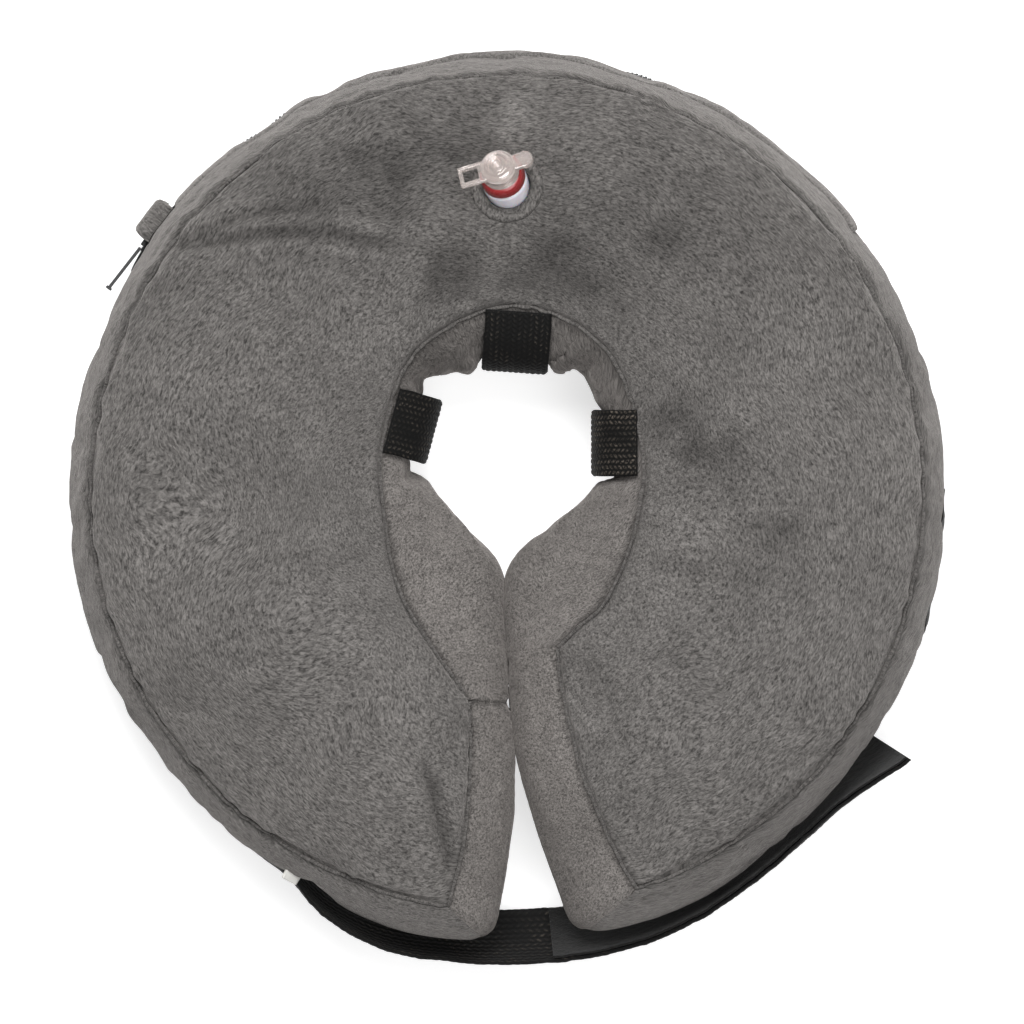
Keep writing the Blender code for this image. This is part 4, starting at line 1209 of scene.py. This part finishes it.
LOOP_WIDTH = 25 * MM
LOOP_THICKNESS = 1.8 * MM
LOOP_SEWN = 0.2 * MM            # how far inside the neck seam its ends are sewn in
LOOPS = {                       # centre on the neck seam, facing, reach into the neck
    "top": ((4.5, 71.2), 266, 23),
    "left": ((-43.8, 30), -15, 17),
    "right": ((49.4, 21.5), 180, 17.5),
}
LOOP_ROUNDNESS = 3.2
LOOP_STEP = 0.28 * MM
LOOP_COLUMNS = 34
LOOP_WEAR_AND_HIGHLIGHT = {"top": 0.62, "left": 0.72, "right": 1.0}   # how far its yarn crowns show wear and painted highlight
# How far the strap's yarn crowns show wear and painted highlight.
STRAP_WEAR_AND_HIGHLIGHT = 0.68


def make_loops():
    """Three woven webbing loops for the pet's own collar, seam to seam."""
    for name, (centre, facing, reach) in LOOPS.items():
        w = np.linspace(0.0, 1.0, 400)
        rise = reach * MM - LOOP_THICKNESS - LOOP_SEWN
        x = LOOP_SEWN + rise * (1 - np.abs(2 * w - 1) ** LOOP_ROUNDNESS)
        z = MIDDLE_Z + (HALF_SEAM - 0.4 * MM) * (1 - 2 * w)
        curve = np.stack((x, z), axis=-1)
        run = run_length(curve)
        along = np.linspace(0, run[-1], int(run[-1] / LOOP_STEP) + 1)
        along = along[:len(along) - (len(along) - 1) % REFINE]
        curve = np.stack([np.interp(along, run, values) for values in curve.T], axis=-1)
        step = unit(np.gradient(curve, axis=0))
        out = np.stack((-step[:, 1], step[:, 0]), axis=-1)
        across = np.linspace(-LOOP_WIDTH / 2, LOOP_WIDTH / 2, LOOP_COLUMNS * REFINE + 1)
        height = weave(across[None, :] + 0.3 * MM, along[:, None])
        edge = 1 - 0.55 * np.abs(2 * across / LOOP_WIDTH) ** 24
        height *= edge

        def layer(amount, row_step=1):
            moved = curve[::row_step, None] + out[::row_step, None] * amount[..., None]
            wide = np.broadcast_to(across[::row_step], moved.shape[:2])
            wobble = 0.18 * MM * line_noise(along[::row_step], 6 * MM, 61)[:, None]
            return np.dstack((moved[..., 0], wide + wobble, moved[..., 1]))

        face = (LOOP_THICKNESS - 0.2 * MM) * edge + height * YARN_HEIGHT
        outside = layer(face)
        inside = layer(0.05 * MM * np.ones_like(face[::REFINE, ::REFINE]), REFINE)
        loop = closed_sheet("collar_loop_" + name, outside, inside, REFINE)
        store(loop, "weave", height * LOOP_WEAR_AND_HIGHLIGHT[name], "FLOAT")
        place = np.array(centre) * MM + CENTRE
        loop.matrix_world = (Matrix.Translation((*place, 0))
                             @ Matrix.Rotation(math.radians(facing), 4, "Z"))
        dress(loop, WEBBING, "collar", ("collar_loop_" + name,))


STRAP_WIDTH = 38 * MM
STRAP_REAR_Z = 9 * MM
STRAP_BOW = 3 * MM
STRAP_KNOTS = np.array([        # ring angle, inner face's radius at the front and rear edges
    (201, 163.2, 157.2), (221, 163.0, 157.0), (241, 165.2, 157.4), (253, 173.2, 158.0),
    (263, 173.4, 155.0), (273, 173.2, 153.8), (283, 173.6, 155.0), (293, 172.4, 157.2),
    (303, 169.4, 158.6), (311, 167.8, 159.4), (319, 169.6, 160.6), (327.4, 179.5, 163.5),
])
HOOK_TAPE_ANGLES = (275.8, 327.3)
HINGES = {"strap_bridge": 253.0, "strap_middle": 275.2, "strap_tail": 301.0}
BEND_HALF = 3.2                 # degrees each side of a hinge; the strap is not bent there
STRAP_RUNS = (201, 264, 288, 327.3)     # ring angles where its runs start and end
STRAP_STEP = 0.46 * MM
STRAP_MIDDLE = 2.25 * MM        # of its thickness, from the knots' inner face
STRAP_COARSE = 1.45             # how much coarser its weave is than the loops'
STRAP_INSET = 4.0 * MM          # how deep the sewn-down end sits in the plush
INSET_ANGLES = (238.0, 246.0)


def strap_point(angle, share, layer):
    """Point of the strap: share 0 at the front edge, 1 at the rear edge."""
    angle, share, layer = np.broadcast_arrays(angle, share, layer)
    knot = np.interp(angle.ravel(), STRAP_KNOTS[:, 0], np.arange(len(STRAP_KNOTS)))
    front, rear = np.moveaxis(through(STRAP_KNOTS[:, 1:] * MM, knot), -1, 0)
    front, rear = front.reshape(angle.shape), rear.reshape(angle.shape)
    rise = np.sqrt(STRAP_WIDTH ** 2 - (front - rear) ** 2)
    lean = (front - rear) / STRAP_WIDTH
    radius = front + (rear - front) * share + STRAP_BOW * 4 * share * (1 - share)
    inset = ease((INSET_ANGLES[1] - angle) / (INSET_ANGLES[1] - INSET_ANGLES[0]))
    radius = radius + layer * rise / STRAP_WIDTH - STRAP_INSET * inset
    height = STRAP_REAR_Z + rise * (1 - share) - layer * lean
    run = np.radians(angle) * WALL_RADIUS
    wave = 0.35 * MM * line_noise(run, 7 * MM, 71) + 0.25 * MM * line_noise(run, 3 * MM, 72)
    wave = wave * (bell(share, 0.12) + 0.6 * bell(1 - share, 0.12))
    flat = on_circle(0, 1, angle) * (radius + wave * 0.7)[..., None] + CENTRE
    return np.dstack((flat, height + wave * 0.6))


def strap_run(name, angles, bodies):
    """One run of the strap's webbing, woven on both faces, between two bodies."""
    first, last = angles
    steps = int(math.radians(last - first) * WALL_RADIUS / STRAP_STEP)
    angle = np.linspace(first, last, steps + 1)[:, None]
    share = np.linspace(0, 1, int(STRAP_WIDTH / STRAP_STEP) + 1)[None, :]
    run = np.radians(angle) * WALL_RADIUS
    height = weave(share * STRAP_WIDTH, run, STRAP_COARSE)
    edge = 1 - 0.5 * np.abs(2 * share - 1) ** 20
    yarns = height * YARN_HEIGHT
    outside = strap_point(angle, share, STRAP_MIDDLE + (0.55 * MM + yarns) * edge)
    inside = strap_point(angle, share, STRAP_MIDDLE - (0.5 * MM + yarns) * edge)
    piece = closed_sheet(name, outside, inside)
    store(piece, "weave", STRAP_WEAR_AND_HIGHLIGHT * np.concatenate((height.ravel(), height.ravel())), "FLOAT")
    bend_strap(piece, WEBBING, bodies)
    return piece


def bend_strap(piece, material, bodies):
    """Paint a piece of the strap and bake its transform; the hinge between its two bodies is
    looked up, but the piece is not bent.
    """
    paint(piece, material)
    hinge = HINGES[bodies[1]]
    start, end = (strap_point(np.array([[hinge + side * BEND_HALF]]), 0.5, 2 * MM)[0, 0]
                  for side in (-1, 1))
    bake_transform(piece)


def make_hook_tape():
    """Hook tape sewn along the strap's inner face, up to its free end."""
    angle = np.linspace(*HOOK_TAPE_ANGLES, 300)[:, None]
    share = np.linspace(0.05, 0.95, 60)[None, :]
    run, down = np.radians(angle) * WALL_RADIUS, share * STRAP_WIDTH
    edge = np.abs(2 * share - 1) ** 30
    inner = strap_point(angle, share, 0.15 * MM + edge * 0.5 * MM + fuzz(run, down) * 0.8)
    outer = strap_point(angle, share, 1.05 * MM + 0 * angle)
    piece = closed_sheet("hook_tape", inner, outer)
    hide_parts("hook_tape_middle", "hook_tape_tail")
    bend_strap(piece, TAPE, ("strap_middle", "strap_tail"))


def make_strap():
    """Closing strap in three runs, and its hook tape."""
    bodies = ("collar", "strap_bridge", "strap_middle", "strap_tail")
    replaced = (("strap_anchor", "strap_bridge"), ("strap_middle",), ("strap_tail",))
    for index, name in enumerate(("rear", "middle", "tail")):
        run = strap_run("strap_webbing_" + name, STRAP_RUNS[index:index + 2],
                        bodies[index:index + 2])
        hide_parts(*replaced[index])
    make_hook_tape()


LABEL_ANGLE = 240.2
LABEL_SIZE = (5.6 * MM, 7.5 * MM)     # out from the wall, along the wall's height
LABEL_HEIGHT = 51 * MM
LABEL_SUNK = 2.2 * MM           # how far its middle lies inside the wall's radius
LABEL_TWIST = 55                # degrees that it is turned towards the front


def make_label():
    """Blank folded label that stands out of the seam beside the strap."""
    half = 0.42 * MM
    reach = LABEL_SIZE[0]
    bend = [(math.cos(turn) * half, math.sin(turn) * half)
            for turn in np.linspace(math.pi / 2, -math.pi / 2, 9)]
    path = [(-reach / 2, half), (0, half * 1.1)]
    path += [(reach / 2 - half + x, y) for x, y in bend]
    path += [(0, -half * 1.1), (-reach / 2, -half)]
    path = np.array(path)
    inward = unit(np.stack((-np.gradient(path[:, 1]), np.gradient(path[:, 0])), axis=-1))
    up = np.linspace(-LABEL_SIZE[1] / 2, LABEL_SIZE[1] / 2, 12)
    curl = 0.25 * MM * np.sin(up / LABEL_SIZE[1] * 3)

    def layer(amount):
        flat = path + inward * amount
        grid = np.zeros((len(path), len(up), 3))
        grid[..., 0] = flat[:, None, 0]
        grid[..., 1] = flat[:, None, 1] + curl[None, :] * (path[:, None, 0] / reach + 0.5)
        grid[..., 2] = up[None, :]
        return grid

    label = closed_sheet("care_label", layer(0.0), layer(-0.22 * MM))
    place = on_circle(0, WALL_RADIUS - LABEL_SUNK, LABEL_ANGLE) + CENTRE
    label.matrix_world = (Matrix.Translation((*place, LABEL_HEIGHT))
                          @ Matrix.Rotation(math.radians(LABEL_ANGLE), 4, "Z")
                          @ Matrix.Rotation(math.radians(LABEL_TWIST), 4, "X"))
    dress(label, LABEL, "collar", ("care_label",))


make_loops()
make_strap()
make_label()


# ---------------------------------------------------------------- valve
VALVE_LEAN = 28.0               # degrees from upright, towards an angle round Z
VALVE_LEAN_TOWARDS = 117.0
WING_TURN = 15.0
# Closed profiles of the turned parts: (radius, height along the valve's axis) in mm.
VALVE_PROFILES = {
    "valve_body": [(4.0, 5.6), (7.2, 5.6), (8.2, 5.2), (8.6, 4.4), (8.6, 0), (8.6, -3.2),
                   (4.0, -3.2)],
    "valve_seat_ring": [(6.0, 10.6), (7.3, 10.6), (8.0, 10.0), (8.4, 8.6), (8.5, 6.2),
                        (8.0, 5.7), (6.0, 5.7)],
    "valve_neck": [(3.2, 13.6), (5.4, 13.6), (5.8, 13.3), (5.8, 12.6), (6.3, 12.4), (6.3, 11.8),
                   (6.8, 11.6), (6.8, 11.2), (7.1, 11.0), (7.1, 10.7), (3.2, 10.7)],
}
CAP_PROFILE = [
    (0, 18.2), (0.5, 18.2), (0.7, 17.7), (1.5, 17.7), (1.7, 18.6), (2.4, 18.7), (2.8, 18.0),
    (3.5, 18.0), (3.9, 18.5), (4.6, 18.4), (5.0, 17.5), (6.0, 17.2), (6.6, 16.7), (6.6, 14.5),
    (6.3, 14.1), (0, 14.1),
]
WING_Z = 15.3 * MM              # height of the cap's wings along the valve's axis
PATCH_INNER = 8.9 * MM
PATCH_RIM = 13.7 * MM
VALVE_AXIS = (Matrix.Translation((*VALVE_PLACE, TOP_Z - 1.2 * MM))
              @ Matrix.Rotation(math.radians(VALVE_LEAN_TOWARDS), 4, "Z")
              @ Matrix.Rotation(math.radians(VALVE_LEAN), 4, "Y")
              @ Matrix.Rotation(math.radians(WING_TURN - VALVE_LEAN_TOWARDS), 4, "Z"))


def soften(profile, radius=0.3):
    """Profile with each corner turned into a small round."""
    profile = np.array(profile, float)
    result = [profile[0]]
    for before, corner, after in zip(profile[:-2], profile[1:-1], profile[2:]):
        back, forth = before - corner, after - corner
        cut = min(radius, 0.4 * np.linalg.norm(back), 0.4 * np.linalg.norm(forth))
        start = corner + unit(back) * cut
        end = corner + unit(forth) * cut
        result += [start, (start + end + 2 * corner) / 4, end]
    result.append(profile[-1])
    return np.array(result)


def turned(name, profile, segments=72):
    """Turned part from a closed profile of (radius, height) in millimetres."""
    profile = soften(profile) * MM
    turn = np.linspace(0, 2 * np.pi, segments, endpoint=False)
    points = np.stack((profile[None, :, 0] * np.cos(turn)[:, None],
                       profile[None, :, 0] * np.sin(turn)[:, None],
                       np.broadcast_to(profile[None, :, 1], (segments, len(profile)))), axis=-1)
    grid = np.arange(points[..., 0].size).reshape(points.shape[:2])
    grid = np.vstack((grid, grid[:1]))
    if profile[0, 0] > 0:
        grid = np.hstack((grid, grid[:, :1]))
    obj = new_mesh_object(name, points.reshape(-1, 3), quads(grid).tolist())
    with editing(obj) as work:
        weld(work)
        bmesh.ops.recalc_face_normals(work, faces=work.faces)
    obj.data.set_sharp_from_angle(angle=math.radians(50))
    return obj


def block(name, size, place, bevel):
    """Box with rounded edges, as a tool for the cap."""
    work = bmesh.new()
    bmesh.ops.create_cube(work, size=1)
    bmesh.ops.scale(work, vec=size, verts=work.verts)
    bmesh.ops.translate(work, vec=place, verts=work.verts)
    bmesh.ops.bevel(work, geom=work.edges, offset=bevel, segments=4, affect="EDGES", profile=0.5)
    return built(name, work)


def make_valve():
    """White base, red seat ring, clear stepped neck and winged cap, with a plush edge."""
    for (name, profile), material in zip(VALVE_PROFILES.items(), (WHITE, RED, CLEAR)):
        obj = turned(name, profile)
        obj.matrix_world = VALVE_AXIS
        dress(obj, material, "collar", (name,))
    make_cap()
    for name, material in (("valve_flange", WHITE), ("valve_stem", CLEAR), ("valve_seal", RUBBER)):
        paint(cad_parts[name], material)
    make_patch()


def make_cap():
    """Clear cap: rings round a centre pin, an open paddle and a ribbed wing."""
    cap = turned("valve_cap_clear", CAP_PROFILE)

    def shape(operation, name, size, x, bevel, z=0.0):
        """Add or cut a block at a place along the wings, all in millimetres."""
        size = tuple(value * MM for value in size)
        boolean(cap, operation, block(name, size, (x * MM, 0, WING_Z + z * MM), bevel * MM))

    shape("UNION", "paddle", (10.5, 8.6, 1.9), -9.9, 0.5)
    shape("UNION", "wing", (7, 6.4, 1.9), 7.4, 0.5)
    boolean(cap, "UNION", cylinder("wing_end", 3.2 * MM, 1.8 * MM, (10.4 * MM, 0, WING_Z), 40))
    for step in range(3):
        shape("UNION", "rib", (0.7, 3.4, 1.0), 8.0 + 1.7 * step, 0.25, 0.8)
    shape("DIFFERENCE", "window", (5.8, 5.4, 4.0), -10.6, 0.4)
    cap.data.shade_smooth()
    cap.data.set_sharp_from_angle(angle=math.radians(35))
    cap.matrix_world = VALVE_AXIS
    dress(cap, CLEAR, "valve_cap", ("valve_cap",))


def make_patch():
    """Round plush edge at the valve, lying on the front panel with a turned-under rim."""
    radius = np.linspace(PATCH_INNER, PATCH_RIM, 25)[None, :]
    turn = np.linspace(0, 2 * np.pi, 181)[:, None]
    x = VALVE_PLACE[0] + radius * np.cos(turn)
    y = VALVE_PLACE[1] + radius * np.sin(turn)
    points = np.dstack((x, y, np.full(x.shape, TOP_Z)))
    share = (radius - PATCH_INNER) / (PATCH_RIM - PATCH_INNER)
    lift = (0.5 * MM + 0.5 * MM * np.sqrt(np.clip(1 - share ** 8, 0, 1))
            + 0.8 * MM * bell(radius - PATCH_INNER, 1.5 * MM)
            + 0.1 * MM * soft_noise(points, 2.4 * MM, 81))
    ground = surface_height(x, y)
    patch = closed_sheet("valve_patch", np.dstack((x, y, ground + lift)),
                         np.dstack((x, y, ground - 0.3 * MM)))
    with editing(patch) as work:
        weld(work)
        ends = [face for face in work.faces if all(abs(vert.co.y - VALVE_PLACE[1]) < 0.001 * MM
                                                   for vert in face.verts)]
        bmesh.ops.delete(work, geom=ends, context="FACES_ONLY")
    co = coordinates(patch)
    gap = np.linalg.norm(co[:, :2] - VALVE_PLACE, axis=1)
    store(patch, "nap", co * (0.9, 1, 1))
    # Painted shade round the patch's outer rim, where it lies on the panel, and at its inner edge
    # by the valve.
    store(patch, "shade", 1 - 0.45 * bell(gap - PATCH_RIM, 0.7 * MM)
          - 0.35 * bell(gap - PATCH_INNER, 1.2 * MM), "FLOAT")
    patch.data.shade_smooth()
    dress(patch, VELOUR, "collar", ("valve_patch",))


def surface_height(x, y):
    """Height of the finished front panel near the valve."""
    points = panels["front"].points.reshape(-1, 3)
    near = points[np.linalg.norm(points[:, :2] - VALVE_PLACE, axis=1) < 20 * MM]
    heights = np.zeros(x.shape)
    for index in np.ndindex(x.shape):
        gap = np.linalg.norm(near[:, :2] - (x[index], y[index]), axis=1)
        weight = bell(gap, 1.6 * MM) + 1e-12
        heights[index] = np.sum(weight * near[:, 2]) / np.sum(weight)
    return heights


make_valve()


# ---------------------------------------------------------------- floor, light, camera
def make_floor():
    """Plain pale floor."""
    corners = [(-1, -1), (1, -1), (1, 1), (-1, 1)]
    floor = new_mesh_object("floor", [(x * FLOOR_REACH, y * FLOOR_REACH, 0) for x, y in corners],
                            [(0, 1, 2, 3)])
    tree = Tree("floor")
    floor.data.materials.append(tree.finish(Base_Color=grey(0.7), Roughness=0.8,
                                            Specular_IOR_Level=0.1, Emission_Color=grey(1.0),
                                            Emission_Strength=FLOOR_GLOW))


def make_lamps():
    """Soft square lights that look at the collar."""
    for name, (place, size, energy) in LAMPS.items():
        lamp = add_object(name, bpy.data.lights.new(name, "AREA"))
        aim = Vector((0, 0, MIDDLE_Z)) - Vector(place)
        lamp.location = place
        lamp.rotation_euler = aim.to_track_quat("-Z", "Y").to_euler()
        lamp.data.energy = energy
        lamp.data.size = size


def make_studio():
    """An even pale surround, soft lights and the camera straight above."""
    world = bpy.data.worlds.new("studio")
    bpy.context.scene.world = world
    world.use_nodes = True
    background = world.node_tree.nodes["Background"]
    background.inputs["Color"].default_value = (1, 1, 1, 1)
    background.inputs["Strength"].default_value = WORLD_STRENGTH
    make_lamps()
    camera = add_object("camera", bpy.data.cameras.new("camera"))
    camera.location = (*CAMERA_PLACE, MIDDLE_Z + CAMERA_DISTANCE)
    camera.data.lens = SENSOR * CAMERA_DISTANCE / VIEW_WIDTH
    bpy.context.scene.camera = camera
    bpy.context.scene.view_settings.view_transform = "Standard"


make_floor()
make_studio()
